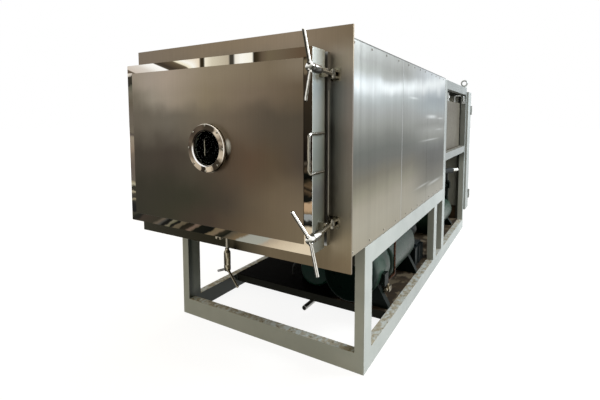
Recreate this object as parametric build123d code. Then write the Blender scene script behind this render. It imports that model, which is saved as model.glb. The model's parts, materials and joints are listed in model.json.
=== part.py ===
from build123d import *
import math
import os

os.makedirs("parts", exist_ok=True)

# Front-loading box freeze dryer on a long tube frame. Millimetres, +Z up, +Y runs from the
# door to the rear. The origin is on the floor, under the middle of the frame's front rail.

# ---------------------------------------------------------------- driving sizes
# base frame, welded from rectangular tube
FRAME_WIDTH = 1481.0
FRAME_LENGTH = 3670.0
TUBE_WIDTH = 60.0
TUBE_DEPTH = 120.0
TUBE_WALL = 4.0
CHAMBER_RAIL_TOP = 766.0
BAY_TOP = 1900.0
BAY_RAIL_HEIGHT = 90.0
SHELF_RAIL_TOP = 1130.0
SHELF_RAIL_HEIGHT = 80.0
BAY_LENGTH = 1470.0
REAR_POST_WIDTH = 90.0
KICK_PLATE_IN = 28.0
KICK_PLATE_THICK = 4.0
KICK_PLATE_TOP = 300.0
SIDE_POST_AHEAD = 380.0
BEARER_SIZE = 60.0
FRONT_BEARERS_Y = (539.0, 1180.0)
REAR_BEARERS_AHEAD = (1820.0, 1220.0, 660.0)
FLOOR_PLATE = 5.0
FLOOR_PLATE_GAP = 3.0

LIFT_RING = 35.0
LIFT_WIRE = 10.0
LIFT_COLLAR_EDGE = 1.0
LIFT_COLLAR_HEIGHT = 25.0

# mask plate and cladding
MASK_OVERHANG = 46.0
MASK_BOTTOM = 724.0
MASK_TOP = 1948.0
MASK_SHEET = 3.0
MASK_RETURN = 12.0
MASK_FRONT_Y = -336.0
CLAD_TOP = 1908.0
CLAD_SHEET = 2.0
CLAD_RETURN = 20.0
CLAD_GAP = 4.0
CLAD_SEAMS_Y = (670.0, 1414.0)
CLAD_SEAM_GAP = 3.0
CLAD_POST = 30.0
CLAD_POST_FRONT_Y = 60.0
PANEL_SCREW_HEAD = 6.0
PANEL_SCREW_RISE = 2.5
PANEL_SCREW_DROP = 22.0
PANEL_SCREW_INSET = 121.0
PANEL_SCREWS_ALONG = 4

# vacuum chamber
CENTRE_Z = 1340.5
CHAMBER_WIDTH = 1180.0
CHAMBER_WALL = 8.0
CHAMBER_BACK_Y = 1160.0
FLANGE_END_LAND = 65.5
FLANGE_PROUD = 18.0
FLANGE_THICK = 28.0
RIB_THICK = 10.0
RIB_YS = (-180.0, 0.0, 360.0, 720.0, 1080.0)
CHAMBER_BEARERS_Y = (0.0, 720.0, 1080.0)
CHAMBER_BEARER_HEIGHT = 100.0

# shelves and trays
SHELF_COUNT = 6
SHELF_FLOOR_SPACE = 59.5
SHELF_CEILING_SPACE = 60.5
SHELF_THICK = 20.0
SHELF_SIDE_SPACE = 40.0
SHELF_FRONT_Y = -230.0
SHELF_LENGTH = 1250.0
TRAY_SIDE_SPACE = 30.0
TRAY_LENGTH = 1180.0
TRAY_HEIGHT = 30.0
TRAY_SHEET = 2.0
TRAY_GAP = 10.0
UPRIGHT_YS = (-150.0, 395.0, 940.0)
UPRIGHT_SIZE = 28.0
LUG_REACH = 18.0
LUG_HEIGHT = 12.0
MANIFOLD_RADIUS = 16.0
MANIFOLD_INSET = 150.0
MANIFOLD_Y = 1085.0
STUB_RADIUS = 8.0

# door
DOOR_WIDTH = 1326.0
DOOR_HEIGHT = 977.0
DOOR_FRONT_Y = -514.0
DOOR_DEPTH = 123.0
DOOR_SHEET = 3.0
DOOR_OVERLAP = 3.0
DOOR_PANEL_MARGIN = (45.5, 49.0)
DOOR_PANEL_THICK = 4.0
DOOR_PLATE_THICK = 15.0
DOOR_PLATE_INSET = 23.0
DOOR_CORNER = 6.0
DOOR_RIB = 6.0
DOOR_RIBS_X = (-450.0, -200.0, 200.0, 450.0)
SEAL_WIDTH = 22.0
SEAL_INSET = 25.0
SEAL_CORNER = 40.0
SEAL_GAP = 0.3

# sight glass
SIGHT_X = 25.0
SIGHT_RADIUS = 135.0
SIGHT_BORE = 94.0
SIGHT_TUBE_WALL = 8.0
SIGHT_RING_THICK = 16.0
SIGHT_COVER_THICK = 14.0
GLASS_RADIUS = 112.0
GLASS_THICK = 12.0
GLASS_SEAT = 12.0
GASKET_THICK = 2.0
SIGHT_SCREWS = 8
SIGHT_SCREW_PITCH = 123.0
SIGHT_SCREW = 3.9
SIGHT_SCREW_HEAD = 6.5
SIGHT_SCREW_RISE = 5.0
SIGHT_THREAD = 14.0

# door handle
HANDLE_BAR = 7.5
HANDLE_TOP = 1430.0
HANDLE_BOTTOM = 1245.0
HANDLE_REACH_Y = -561.0
HANDLE_ROOT_Y = -417.0
HANDLE_BEND = 20.0

# hinges
HINGE_X = -720.0
HINGE_Y = -436.0
HINGE_ZS = (1040.0, 1640.0)
HINGE_PIN = 10.0
HINGE_KNUCKLE = 22.0
HINGE_KNUCKLE_HEIGHT = 60.0
HINGE_LUG = 16.0
HINGE_LEAF = 20.0
HINGE_BASE = 6.0
HINGE_BASE_HALF = 49.0
HINGE_SPACE = 1.0

# swing-bolt clamps
BASE_MARGIN = 12.0
PIN_TAIL = 4.0
CLAMP_X = 698.0
CLAMP_UPPER_Z = 1714.0
CLAMP_LOWER_Z = 979.0
CLAMP_BOTTOM_X = 14.0
CLAMP_STANDOFF = 40.0
SWING_OPEN = 7.0
PIVOT_PIN = 6.0
BOLT_RADIUS = 8.0
BOLT_LENGTH = 210.0
EYE_RADIUS = 15.0
EYE_THICK = 18.0
LUG_THICK = 10.0
CLAMP_BASE_HALF = 26.0
NUT_LENGTH = 138.0
NUT_BORE_DEPTH = 134.5
NUT_NECK = 12.5
NUT_RADIUS = 20.0
NUT_NECK_LENGTH = 10.0
NUT_TAPER = 14.0
NUT_BACKED_OFF = 160.0
NUT_HANGING = 77.0
HUB_INSET = 13.0
ARM_RADIUS = 7.5
ARM_LENGTH = 157.0
ARM_SWEEP = 23.0
ARM_TURN_UPPER = -1.5
ARM_TURN_LOWER = -24.0
ARM_TURN_BOTTOM = -25.7
FORK_REACH = 40.0
FORK_FRONT_Y = -451.0
FORK_THICK = 18.0
FORK_DEPTH = 40.0
FORK_SLOT = 9.0
FORK_PRONG = 12.0
GUSSET_THICK = 8.0
GUSSET_REACH = 28.0

# refrigeration compressor
COMP_X = 450.0
COMP_Z = 390.0
COMP_FRONT_Y = 384.0
COMP_BAND_Y = 780.0
COMP_REAR_Y = 1444.0
COMP_RADIUS = 200.0
COMP_FRONT_RADIUS = 188.0
COMP_FEET_Y = (604.0, 1374.0)
COMP_COVER = 120.0
COMP_COVER_THICK = 16.0
COMP_EDGE = 24.0
COMP_BAND_GAP = 20.0
COMP_NECK_INSET = 10.0
COMP_NECK_LAP = 30.0
COVER_BOLTS = 6
COVER_BOLT_CIRCLE = 100.0
COVER_BOLT = 9.0
COVER_BOLT_RISE = 10.0
COVER_BOLT_LENGTH = 12.0
OIL_BOX_WIDTH = 80.0
OIL_BOX_ABOVE = -6.0
OIL_BOX_BELOW = 96.0
OIL_BOX_PROUD = 26.0
OIL_BOX_SUNK = 18.0
OIL_BOX_CORNER = 8.0
VALVE_BEHIND_FOOT = 76.0
VALVE_BELOW_AXIS = 110.0
VALVE_OFF_SIDE = 10.0
VALVE_INNER = 66.0
VALVE_OUTER = 20.0
VALVE_WIDTH = 50.0
VALVE_HEIGHT = 40.0
VALVE_NECK = 11.0
VALVE_NECK_HEIGHT = 20.0
VALVE_CAP = 14.0
VALVE_CAP_LENGTH = 30.0
SUCTION_PIPE = 9.0
SUCTION_STEP = 30.0
SUCTION_RISE = 24.0
SUCTION_BACK = 60.0
SUCTION_UNDER_RAIL = 26.0
SUCTION_TURN_RISE = 20.0
SUCTION_OVER = 78.0
SUCTION_END_OVER = 110.0
SUCTION_END_RISE = 80.0
SUCTION_BENDS = (16.0, 24.0, 18.0, 24.0)
FOOT_THICK = 50.0
FOOT_HALF = 235.0
FOOT_TOE = 22.0
FOOT_TOP_SHARE = 0.75
FOOT_DROP_SHARE = 0.45

# second compressor
COMP2_X = 60.0
COMP2_Z = 275.0
COMP2_RADIUS = 130.0
COMP2_FRONT_Y = 614.0
COMP2_REAR_Y = 1300.0
COMP2_FEET_Y = (720.0, 1220.0)
COMP2_EDGE = 20.0
COMP2_FOOT_REACH = 30.0
HEAD_SUNK = 10.0
HEAD_PROUD = 34.0
HEAD_SETBACK = 14.0
HEAD_LENGTH = 190.0
HEAD_HALF_HEIGHT = 42.0
HEAD_TILT = 6.0
HEAD_SLOTS_Z = (-28.0, -10.0, 8.0, 26.0)
HEAD_SLOT_HALF = 3.0
HOSE_RADIUS = 11.0
HOSE_OUT = 170.0
HOSE_BEND = 120.0
HOSE_BEHIND_FOOT = 60.0

# vacuum pump
PUMP_X = 500.0
PUMP_FRONT_Y = 1500.0
PUMP_REAR_Y = 1760.0
PUMP_TOP = 310.0
PUMP_WIDTH = 280.0
PUMP_FINS = 5
PUMP_END_LENGTH = 90.0
PUMP_STEP = 10.0
PUMP_INSET = 15.0
PUMP_FIN_GAP = 4.0
PUMP_FIN_LIFT = 12.0
MOTOR_RADIUS = 82.0
MOTOR_LIFT = 24.0
MOTOR_EDGE = 12.0
MOTOR_OVERHANG = 20.0
MOTOR_FOOT_HALF = 60.0

# liquid receiver and tank in the rear bay
RECEIVER_X = 480.0
RECEIVER_Z = 310.0
RECEIVER_RADIUS = 165.0
RECEIVER_IN = 390.0
RECEIVER_LENGTH = 780.0
RECEIVER_FEET_IN = (100.0, 640.0)
RECEIVER_VALVE_X = 580.0
RECEIVER_VALVE_IN = 730.0
RECEIVER_EDGE = 40.0
RECEIVER_FOOT_REACH = 25.0
STEM_RADIUS = 22.0
STEM_HEIGHT = 290.0
VALVE_BODY_HALF_X = 40.0
VALVE_BODY_HALF_Y = 35.0
VALVE_BODY_Z = (590.0, 670.0)
SPINDLE_RADIUS = 16.0
SPINDLE_REACH = 90.0
SPINDLE_LENGTH = 60.0
BONNET_RADIUS = 28.0
BONNET_HEIGHT = 24.0
DISCHARGE_Z = 815.0
DISCHARGE_RADIUS = 20.0
DISCHARGE_STEM = 16.0
DISCHARGE_TURN = 23.2
DISCHARGE_LENGTH = 228.0
SLEEVE_RADIUS = 35.0
SLEEVE_AHEAD = 90.0
SLEEVE_BEHIND = 100.0
CASING_WIDTH = 572.0
CASING_OFF_POST = 8.5
CASING_IN = 480.0
CASING_LENGTH = 906.0
CASING_TOP = 1700.0
CASING_CORNER = 4.0
JUNCTION_OUT = (19.5, 51.5)
JUNCTION_Z = (1690.0, 1722.0)
JUNCTION_DEPTH = 48.0
CONDUIT_RADIUS = 9.0
CONDUIT_BEND = 20.0
CONDUIT_INSET = 68.0
CONDUIT_TOP = 1795.0
CONDUIT_SETBACK = 6.0
RISER_INSET = (32.0, 205.0)
RISER_RADIUS = 14.0
RISER_HEIGHT = 105.0
RISER_FLANGE = 24.0
RISER_FLANGE_THICK = 10.0
RISER_COLLAR_LIFT = 40.0
RISER_COLLAR_HEIGHT = 30.0
RISER_LEVER = 8.0
RISER_LEVER_LIFT = 55.0
RISER_LEVER_REACH = 40.0
RISER_LEVER_LENGTH = 30.0

# drain
DRAIN_X = 70.0
DRAIN_OPEN_Y = 434.0
DRAIN_LENGTH = 900.0
DRAIN_RADIUS = 19.0
DRAIN_WALL = 3.0

# cold trap
TRAP_RADIUS = 400.0
TRAP_WALL = 6.0
TRAP_KNUCKLE = 90.0
TRAP_FRONT_Y = 1300.0
TRAP_REAR_SPACE = 86.0
TRAP_SADDLE_INSETS = (180.0, 160.0)
TRAP_SADDLE_HALF = 330.0
COIL_BAR = 9.5
COIL_STEP = 80.0
COIL_RUNS = 7
COIL_BANKS_X = (-140.0, 0.0, 140.0)
COIL_END = 150.0
DUCT_RADIUS = 150.0
DUCT_WALL = 6.0

# control cabinet
CABINET_WIDTH = 700.0
CABINET_DEPTH = 250.0
CABINET_BOTTOM = 250.0
CABINET_TOP = 1850.0
CABINET_OVERHANG = 23.5
CABINET_SHEET = 2.0
CABINET_DOOR_THICK = 20.0
CABINET_DOOR_GAP = 2.0
CABINET_HINGE_ZS = (440.0, 1610.0)
CABINET_LIP = 20.0
CABINET_KNUCKLE = 10.0
CABINET_HINGE_PIN = 4.0
CABINET_KNUCKLE_HEIGHT = 40.0
CABINET_LUG_HEIGHT = 41.0
CABINET_HINGE_SPACE = 1.0
CABINET_LUG_THICK = 5.0
CABINET_LUG_LENGTH = 50.0
CABINET_KNUCKLE_WEB = 8.0
GEAR_PLATE_THICK = 20.0
GEAR_PLATE_SIDE = 40.0
GEAR_PLATE_END = 60.0
GEAR_ROWS = 4
GEAR_PER_ROW = 6
GEAR_PITCH = (95.0, 280.0)
GEAR_SIZE = (80.0, 80.0, 120.0)
GEAR_FIRST = (80.0, 180.0)
LATCH_RADIUS = 11.0
LATCH_INSET = 45.0
LATCH_BOSS = 19.0
LATCH_BOSS_LENGTH = 14.0
LATCH_GAP = 1.0
LATCH_BAR_HALF = 5.0
LATCH_BAR_THICK = 16.0
TONGUE_HALF = 9.0
TONGUE_THICK = 4.0
TONGUE_INSIDE = 12.0
TONGUE_REACH = 38.0
TONGUE_TAIL = 10.0

# small clearances
PIN_FIT = 0.05
SWING_FIT = 0.08
LOOSE_FIT = 0.3
WELD_GAP = 0.2

# ---------------------------------------------------------------- derived places
HALF_FRAME = FRAME_WIDTH / 2
INNER_FRAME = HALF_FRAME - TUBE_WIDTH
FRAME_FRONT = -TUBE_WIDTH / 2
FRAME_REAR = FRAME_FRONT + FRAME_LENGTH
RAIL_TOP = TUBE_DEPTH
CHAMBER_RAIL_BOTTOM = CHAMBER_RAIL_TOP - TUBE_DEPTH
LEG_BACK = FRAME_FRONT + TUBE_DEPTH
BAY_POST_FRONT = FRAME_REAR - BAY_LENGTH
BAY_POST_BACK = BAY_POST_FRONT + TUBE_DEPTH
REAR_SIDE_POST_FRONT = BAY_POST_FRONT - SIDE_POST_AHEAD
FLOOR_BEARERS_Y = FRONT_BEARERS_Y + tuple(FRAME_REAR - d for d in REAR_BEARERS_AHEAD)
REAR_POST_FRONT = FRAME_REAR - TUBE_WIDTH
REAR_POST_IN = HALF_FRAME - REAR_POST_WIDTH
FLOOR_TOP = RAIL_TOP + FLOOR_PLATE
BAY_SHELF_TOP = SHELF_RAIL_TOP + FLOOR_PLATE

CLAD_FRONT = MASK_FRONT_Y + MASK_SHEET
CLAD_REAR = BAY_POST_FRONT - CLAD_GAP
CLAD_BOTTOM = CHAMBER_RAIL_TOP + CLAD_GAP

FLANGE_WIDTH = DOOR_WIDTH - 2 * DOOR_OVERLAP
FLANGE_HEIGHT = DOOR_HEIGHT - 2 * DOOR_OVERLAP
FLANGE_FRONT = MASK_FRONT_Y - FLANGE_PROUD
FLANGE_BACK = FLANGE_FRONT + FLANGE_THICK
CHAMBER_HEIGHT = FLANGE_HEIGHT - 2 * FLANGE_END_LAND
CHAMBER_BOTTOM = CENTRE_Z - CHAMBER_HEIGHT / 2
CHAMBER_CEILING = CENTRE_Z + CHAMBER_HEIGHT / 2
CHAMBER_OUT_X = CHAMBER_WIDTH / 2 + CHAMBER_WALL
CHAMBER_OUT_BOTTOM = CHAMBER_BOTTOM - CHAMBER_WALL
CHAMBER_OUT_TOP = CHAMBER_CEILING + CHAMBER_WALL
BEARER_TOP = CHAMBER_RAIL_TOP + CHAMBER_BEARER_HEIGHT
RIB_HEIGHT = CHAMBER_OUT_BOTTOM - BEARER_TOP
SHELF_WIDTH = CHAMBER_WIDTH - 2 * SHELF_SIDE_SPACE
SHELF_FIRST_Z = CHAMBER_BOTTOM + SHELF_FLOOR_SPACE
SHELF_LAST_Z = CHAMBER_CEILING - SHELF_CEILING_SPACE - SHELF_THICK
SHELF_PITCH = (SHELF_LAST_Z - SHELF_FIRST_Z) / (SHELF_COUNT - 1)
TRAY_WIDTH = (SHELF_WIDTH - TRAY_GAP) / 2 - TRAY_SIDE_SPACE
MANIFOLD_X = SHELF_WIDTH / 2 - MANIFOLD_INSET

DOOR_BACK = DOOR_FRONT_Y + DOOR_DEPTH
DOOR_FACE = DOOR_FRONT_Y - DOOR_PANEL_THICK
DOOR_SIDE = DOOR_WIDTH / 2
DOOR_BOTTOM = CENTRE_Z - DOOR_HEIGHT / 2
DOOR_TOP = CENTRE_Z + DOOR_HEIGHT / 2
DOOR_PLATE_BACK = DOOR_BACK + DOOR_PLATE_THICK

GLASS_SEAT_Y = DOOR_FACE - SIGHT_RING_THICK + GLASS_SEAT
GLASS_FRONT_Y = GLASS_SEAT_Y - GASKET_THICK - GLASS_THICK

CLAMP_Y = MASK_FRONT_Y - CLAMP_STANDOFF
CLAMP_BOTTOM_Z = DOOR_BOTTOM - (CLAMP_X - DOOR_SIDE)
RECEIVER_FRONT_Y = BAY_POST_FRONT + RECEIVER_IN
RECEIVER_REAR_Y = RECEIVER_FRONT_Y + RECEIVER_LENGTH
RECEIVER_FEET_Y = tuple(RECEIVER_FRONT_Y + d for d in RECEIVER_FEET_IN)
RECEIVER_VALVE_Y = RECEIVER_FRONT_Y + RECEIVER_VALVE_IN
CASING_OUT_X = INNER_FRAME - CASING_OFF_POST
CASING_FRONT_Y = BAY_POST_FRONT + CASING_IN
CASING_REAR_Y = CASING_FRONT_Y + CASING_LENGTH
JUNCTION_X = tuple(INNER_FRAME + d for d in JUNCTION_OUT)
JUNCTION_FRONT_Y = REAR_POST_FRONT - JUNCTION_DEPTH
CONDUIT_X = (CASING_OUT_X - CONDUIT_INSET, sum(JUNCTION_X) / 2)
RISER_X = CASING_OUT_X - RISER_INSET[0]
RISER_Y = CASING_FRONT_Y + RISER_INSET[1]
TRAP_REAR_Y = CLAD_REAR - TRAP_REAR_SPACE
TRAP_SADDLES_Y = (TRAP_FRONT_Y + TRAP_SADDLE_INSETS[0], TRAP_REAR_Y - TRAP_SADDLE_INSETS[1])

CABINET_OUT_X = HALF_FRAME + CABINET_OVERHANG
CABINET_FRONT = FRAME_REAR
CABINET_BACK = CABINET_FRONT + CABINET_DEPTH

UPRIGHT = {"x": Rot(0, 90, 0), "y": Rot(-90, 0, 0), "z": Rot(0, 0, 0)}


# ---------------------------------------------------------------- helpers
def block(x0, x1, y0, y1, z0, z1):
    """A plain block between two corners."""
    size = Box(x1 - x0, y1 - y0, z1 - z0)
    return Pos((x0 + x1) / 2, (y0 + y1) / 2, (z0 + z1) / 2) * size


def rod(axis, x, y, z, radius, length):
    """A round bar that starts at a point and runs along an axis."""
    bar = Cylinder(radius, length, align=(Align.CENTER, Align.CENTER, Align.MIN))
    return Pos(x, y, z) * UPRIGHT[axis] * bar


def ring(axis, x, y, z, outer, inner, length):
    """A round tube that starts at a point and runs along an axis."""
    return rod(axis, x, y, z, outer, length) - rod(axis, x, y, z, inner, length)


def box_tube(axis, x0, x1, y0, y1, z0, z1, wall=TUBE_WALL):
    """Rectangular tube, open at both ends along its axis."""
    inset = {"x": (0, wall, wall), "y": (wall, 0, wall), "z": (wall, wall, 0)}[axis]
    ix, iy, iz = inset
    bore = block(x0 + ix, x1 - ix, y0 + iy, y1 - iy, z0 + iz, z1 - iz)
    return block(x0, x1, y0, y1, z0, z1) - bore


def mirrored(make):
    """The same piece on the right and on the left of the machine."""
    return [make(1), make(-1)]


def span(side, near, far):
    """The two X limits of a piece between two distances from the middle plane."""
    return (near, far) if side > 0 else (-far, -near)


def bent_bar(points, radius, bends):
    """Round bar along straight runs joined by arcs."""
    path = FilletPolyline(*points, radius=bends)
    start = Plane(origin=path @ 0, z_dir=path % 0)
    return sweep(start * Circle(radius), path=path)


def save(name, pieces):
    """Write one node: a single solid, or a group of separate solids."""
    solids = []
    for piece in pieces if isinstance(pieces, list) else [pieces]:
        solids.extend(piece.solids())
    shape = solids[0] if len(solids) == 1 else Compound(children=solids)
    export_step(shape, f"parts/{name}.step")
    print(name, len(solids))


# ---------------------------------------------------------------- base frame
def side_rail(side):
    """Bottom rail along the machine, its front end closed by a welded cap."""
    x0, x1 = span(side, INNER_FRAME, HALF_FRAME)
    tube = box_tube("y", x0, x1, FRAME_FRONT, FRAME_REAR, 0, RAIL_TOP)
    return tube + block(x0, x1, FRAME_FRONT, FRAME_FRONT + TUBE_WALL, 0, RAIL_TOP)


def cross_rail(front, depth, bottom, top, half=INNER_FRAME):
    return box_tube("x", -half, half, front, front + depth, bottom, top)


def post(side, front, depth, bottom, top, inner):
    x0, x1 = span(side, inner, HALF_FRAME)
    return box_tube("z", x0, x1, front, front + depth, bottom, top)


def upper_rail(side, front, back, bottom, top):
    x0, x1 = span(side, INNER_FRAME, HALF_FRAME)
    return box_tube("y", x0, x1, front, back, bottom, top)


def frame():
    rails = mirrored(side_rail)
    rails.append(cross_rail(FRAME_FRONT, TUBE_WIDTH, 0, RAIL_TOP))
    rails.append(cross_rail(REAR_POST_FRONT, TUBE_WIDTH, 0, RAIL_TOP))
    save("bottom_rails", rails)
    save("cross_rails", cross_rails())
    save("frame_posts", frame_posts() + cladding_posts())
    save("upper_rails", upper_rails())
    save("deck_plates", floor_plates() + [bay_shelf_plate(), kick_plate()])
    save("lifting_eyes", mirrored(lifting_eye))


def cross_rails():
    """Floor bearers, the hidden rail between the front legs, and the rear bay's rails."""
    rails = [cross_rail(y, BEARER_SIZE, RAIL_TOP - BEARER_SIZE, RAIL_TOP) for y in FLOOR_BEARERS_Y]
    rails.append(cross_rail(FRAME_FRONT, TUBE_WIDTH, CHAMBER_RAIL_BOTTOM, CHAMBER_RAIL_TOP))
    for front, half in ((BAY_POST_BACK - TUBE_WIDTH, INNER_FRAME),
                        (REAR_POST_FRONT, REAR_POST_IN)):
        rails.append(cross_rail(front, TUBE_WIDTH, BAY_TOP - BAY_RAIL_HEIGHT, BAY_TOP, half))
        rails.append(cross_rail(front, TUBE_WIDTH, SHELF_RAIL_TOP - SHELF_RAIL_HEIGHT,
                                SHELF_RAIL_TOP, half))
    return rails


def frame_posts():
    places = ((FRAME_FRONT, TUBE_DEPTH, CHAMBER_RAIL_TOP, INNER_FRAME),
              (REAR_SIDE_POST_FRONT, TUBE_DEPTH, CHAMBER_RAIL_BOTTOM, INNER_FRAME),
              (BAY_POST_FRONT, TUBE_DEPTH, BAY_TOP, INNER_FRAME),
              (REAR_POST_FRONT, TUBE_WIDTH, BAY_TOP, REAR_POST_IN))
    return [post(side, front, depth, RAIL_TOP, top, inner)
            for front, depth, top, inner in places for side in (1, -1)]


def upper_rails():
    places = ((LEG_BACK, BAY_POST_FRONT, CHAMBER_RAIL_BOTTOM, CHAMBER_RAIL_TOP),
              (BAY_POST_BACK, REAR_POST_FRONT, BAY_TOP - BAY_RAIL_HEIGHT, BAY_TOP),
              (BAY_POST_BACK, REAR_POST_FRONT, SHELF_RAIL_TOP - SHELF_RAIL_HEIGHT,
               SHELF_RAIL_TOP))
    return [upper_rail(side, *place) for place in places for side in (1, -1)]


def bay_shelf_plate():
    """Shelf of the rear bay, notched round the rear posts."""
    plate = block(-INNER_FRAME, INNER_FRAME, BAY_POST_BACK - TUBE_WIDTH, FRAME_REAR,
                  SHELF_RAIL_TOP, BAY_SHELF_TOP)
    for side in (1, -1):
        x0, x1 = span(side, REAR_POST_IN - FLOOR_PLATE_GAP, HALF_FRAME)
        plate -= block(x0, x1, REAR_POST_FRONT - FLOOR_PLATE_GAP, FRAME_REAR, SHELF_RAIL_TOP,
                       BAY_SHELF_TOP)
    return plate


def cladding_posts():
    """Thin tubes behind the cladding seams, standing on the chamber rails."""
    outer = HALF_FRAME - CLAD_SHEET - CLAD_RETURN
    places = (CLAD_POST_FRONT_Y,) + CLAD_SEAMS_Y + (CLAD_REAR - CLAD_POST,)
    return [box_tube("z", *span(side, outer - CLAD_POST, outer), y - CLAD_POST / 2,
                     y + CLAD_POST / 2, CHAMBER_RAIL_TOP, CLAD_TOP - CLAD_SHEET, CLAD_SHEET)
            for y in places for side in (1, -1)]


def floor_plates():
    """Steel plates laid edge to edge on the floor bearers."""
    joints = [y + BEARER_SIZE / 2 for y in FLOOR_BEARERS_Y[1:]]
    starts = [FLOOR_BEARERS_Y[0]] + joints
    ends = [y - FLOOR_PLATE_GAP for y in joints] + [REAR_POST_FRONT]
    return [block(-INNER_FRAME, INNER_FRAME, y0, y1, RAIL_TOP, FLOOR_TOP)
            for y0, y1 in zip(starts, ends)]


def kick_plate():
    """Upright plate between the rear posts that closes the foot of the rear bay."""
    y = REAR_POST_FRONT + KICK_PLATE_IN
    return block(-REAR_POST_IN, REAR_POST_IN, y, y + KICK_PLATE_THICK, RAIL_TOP, KICK_PLATE_TOP)


def lifting_eye(side):
    """Forged eye bolt standing on the rear post."""
    x = side * (HALF_FRAME - TUBE_WIDTH / 2)
    y = FRAME_REAR - TUBE_WIDTH / 2
    collar = rod("z", x, y, BAY_TOP, TUBE_WIDTH / 2 - LIFT_COLLAR_EDGE, LIFT_COLLAR_HEIGHT)
    loop_z = BAY_TOP + LIFT_COLLAR_HEIGHT + LIFT_RING + LIFT_WIRE / 2
    loop = Pos(x, y, loop_z) * Rot(90, 0, 0) * Torus(LIFT_RING, LIFT_WIRE)
    return collar + loop


# ---------------------------------------------------------------- chamber
def chamber():
    flange_side = FLANGE_WIDTH / 2
    outer = block(-flange_side, flange_side, FLANGE_FRONT, FLANGE_BACK,
                  CENTRE_Z - FLANGE_HEIGHT / 2, CENTRE_Z + FLANGE_HEIGHT / 2)
    opening = block(-CHAMBER_WIDTH / 2, CHAMBER_WIDTH / 2, FLANGE_FRONT, FLANGE_BACK,
                    CHAMBER_BOTTOM, CHAMBER_CEILING)
    save("chamber_flange", outer - opening)

    walls = [block(-CHAMBER_OUT_X, CHAMBER_OUT_X, FLANGE_BACK, CHAMBER_BACK_Y, z, z + CHAMBER_WALL)
             for z in (CHAMBER_OUT_BOTTOM, CHAMBER_CEILING)]
    walls += mirrored(lambda s: block(*span(s, CHAMBER_WIDTH / 2, CHAMBER_OUT_X), FLANGE_BACK,
                                      CHAMBER_BACK_Y, CHAMBER_BOTTOM, CHAMBER_CEILING))
    save("chamber_walls", walls)
    back = block(-CHAMBER_OUT_X, CHAMBER_OUT_X, CHAMBER_BACK_Y, CHAMBER_BACK_Y + CHAMBER_WALL,
                 CHAMBER_OUT_BOTTOM, CHAMBER_OUT_TOP)
    save("chamber_back_plate", back - rod("y", 0, CHAMBER_BACK_Y, CENTRE_Z, DUCT_RADIUS - DUCT_WALL,
                                          CHAMBER_WALL))
    save("chamber_ribs", [rib(y) for y in RIB_YS])
    bearers = [box_tube("x", -HALF_FRAME + 5, HALF_FRAME - 5, y - BEARER_SIZE / 2,
                        y + BEARER_SIZE / 2, CHAMBER_RAIL_TOP, BEARER_TOP)
               for y in CHAMBER_BEARERS_Y + TRAP_SADDLES_Y]
    saddles = [saddle(0, y, CENTRE_Z, TRAP_RADIUS, TRAP_SADDLE_HALF, BEARER_TOP, BEARER_SIZE)
               for y in TRAP_SADDLES_Y]
    save("chamber_bearers", bearers + saddles)


def rib(y):
    """A flat-bar stiffening ring welded round the chamber."""
    y0 = y - RIB_THICK / 2
    y1 = y + RIB_THICK / 2
    outer = block(-CHAMBER_OUT_X - RIB_HEIGHT, CHAMBER_OUT_X + RIB_HEIGHT, y0, y1,
                  CHAMBER_OUT_BOTTOM - RIB_HEIGHT, CHAMBER_OUT_TOP + RIB_HEIGHT)
    return outer - block(-CHAMBER_OUT_X, CHAMBER_OUT_X, y0, y1, CHAMBER_OUT_BOTTOM, CHAMBER_OUT_TOP)


# ---------------------------------------------------------------- shelves and trays
def shelf_z(i):
    return SHELF_FIRST_Z + i * SHELF_PITCH


def shelves():
    half = SHELF_WIDTH / 2
    back = SHELF_FRONT_Y + SHELF_LENGTH
    plates = [block(-half, half, SHELF_FRONT_Y, back, shelf_z(i), shelf_z(i) + SHELF_THICK)
              for i in range(SHELF_COUNT)]
    save("heating_shelves", plates)
    save("shelf_rack", [rack_upright(s, y) for s in (1, -1) for y in UPRIGHT_YS])
    save("product_trays", [tray(s, i) for i in range(SHELF_COUNT - 1) for s in (1, -1)])
    save("shelf_manifolds", mirrored(manifold))


def rack_upright(side, y):
    """An upright on the chamber floor with one lug under each shelf."""
    near = SHELF_WIDTH / 2 + 1
    top = shelf_z(SHELF_COUNT - 1) + SHELF_THICK + 10
    x0, x1 = span(side, near, near + UPRIGHT_SIZE)
    piece = block(x0, x1, y - UPRIGHT_SIZE / 2, y + UPRIGHT_SIZE / 2, CHAMBER_BOTTOM, top)
    for i in range(SHELF_COUNT):
        l0, l1 = span(side, near - LUG_REACH, near)
        piece += block(l0, l1, y - UPRIGHT_SIZE / 2, y + UPRIGHT_SIZE / 2,
                       shelf_z(i) - LUG_HEIGHT, shelf_z(i))
    return piece


def tray(side, i):
    """A folded tray that rests on a shelf."""
    z = shelf_z(i) + SHELF_THICK
    x0, x1 = span(side, TRAY_GAP / 2, TRAY_GAP / 2 + TRAY_WIDTH)
    y0 = SHELF_FRONT_Y + (SHELF_LENGTH - TRAY_LENGTH) / 2
    y1 = y0 + TRAY_LENGTH
    outer = block(x0, x1, y0, y1, z, z + TRAY_HEIGHT)
    return outer - block(x0 + TRAY_SHEET, x1 - TRAY_SHEET, y0 + TRAY_SHEET, y1 - TRAY_SHEET,
                         z + TRAY_SHEET, z + TRAY_HEIGHT)


def manifold(side):
    """A heating-fluid header with a stub to each shelf."""
    top = shelf_z(SHELF_COUNT - 1) + SHELF_THICK
    piece = rod("z", side * MANIFOLD_X, MANIFOLD_Y, CHAMBER_BOTTOM, MANIFOLD_RADIUS,
                top - CHAMBER_BOTTOM)
    back = SHELF_FRONT_Y + SHELF_LENGTH
    for i in range(SHELF_COUNT):
        piece += rod("y", side * MANIFOLD_X, back, shelf_z(i) + SHELF_THICK / 2, STUB_RADIUS,
                     MANIFOLD_Y - back)
    return piece


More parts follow.
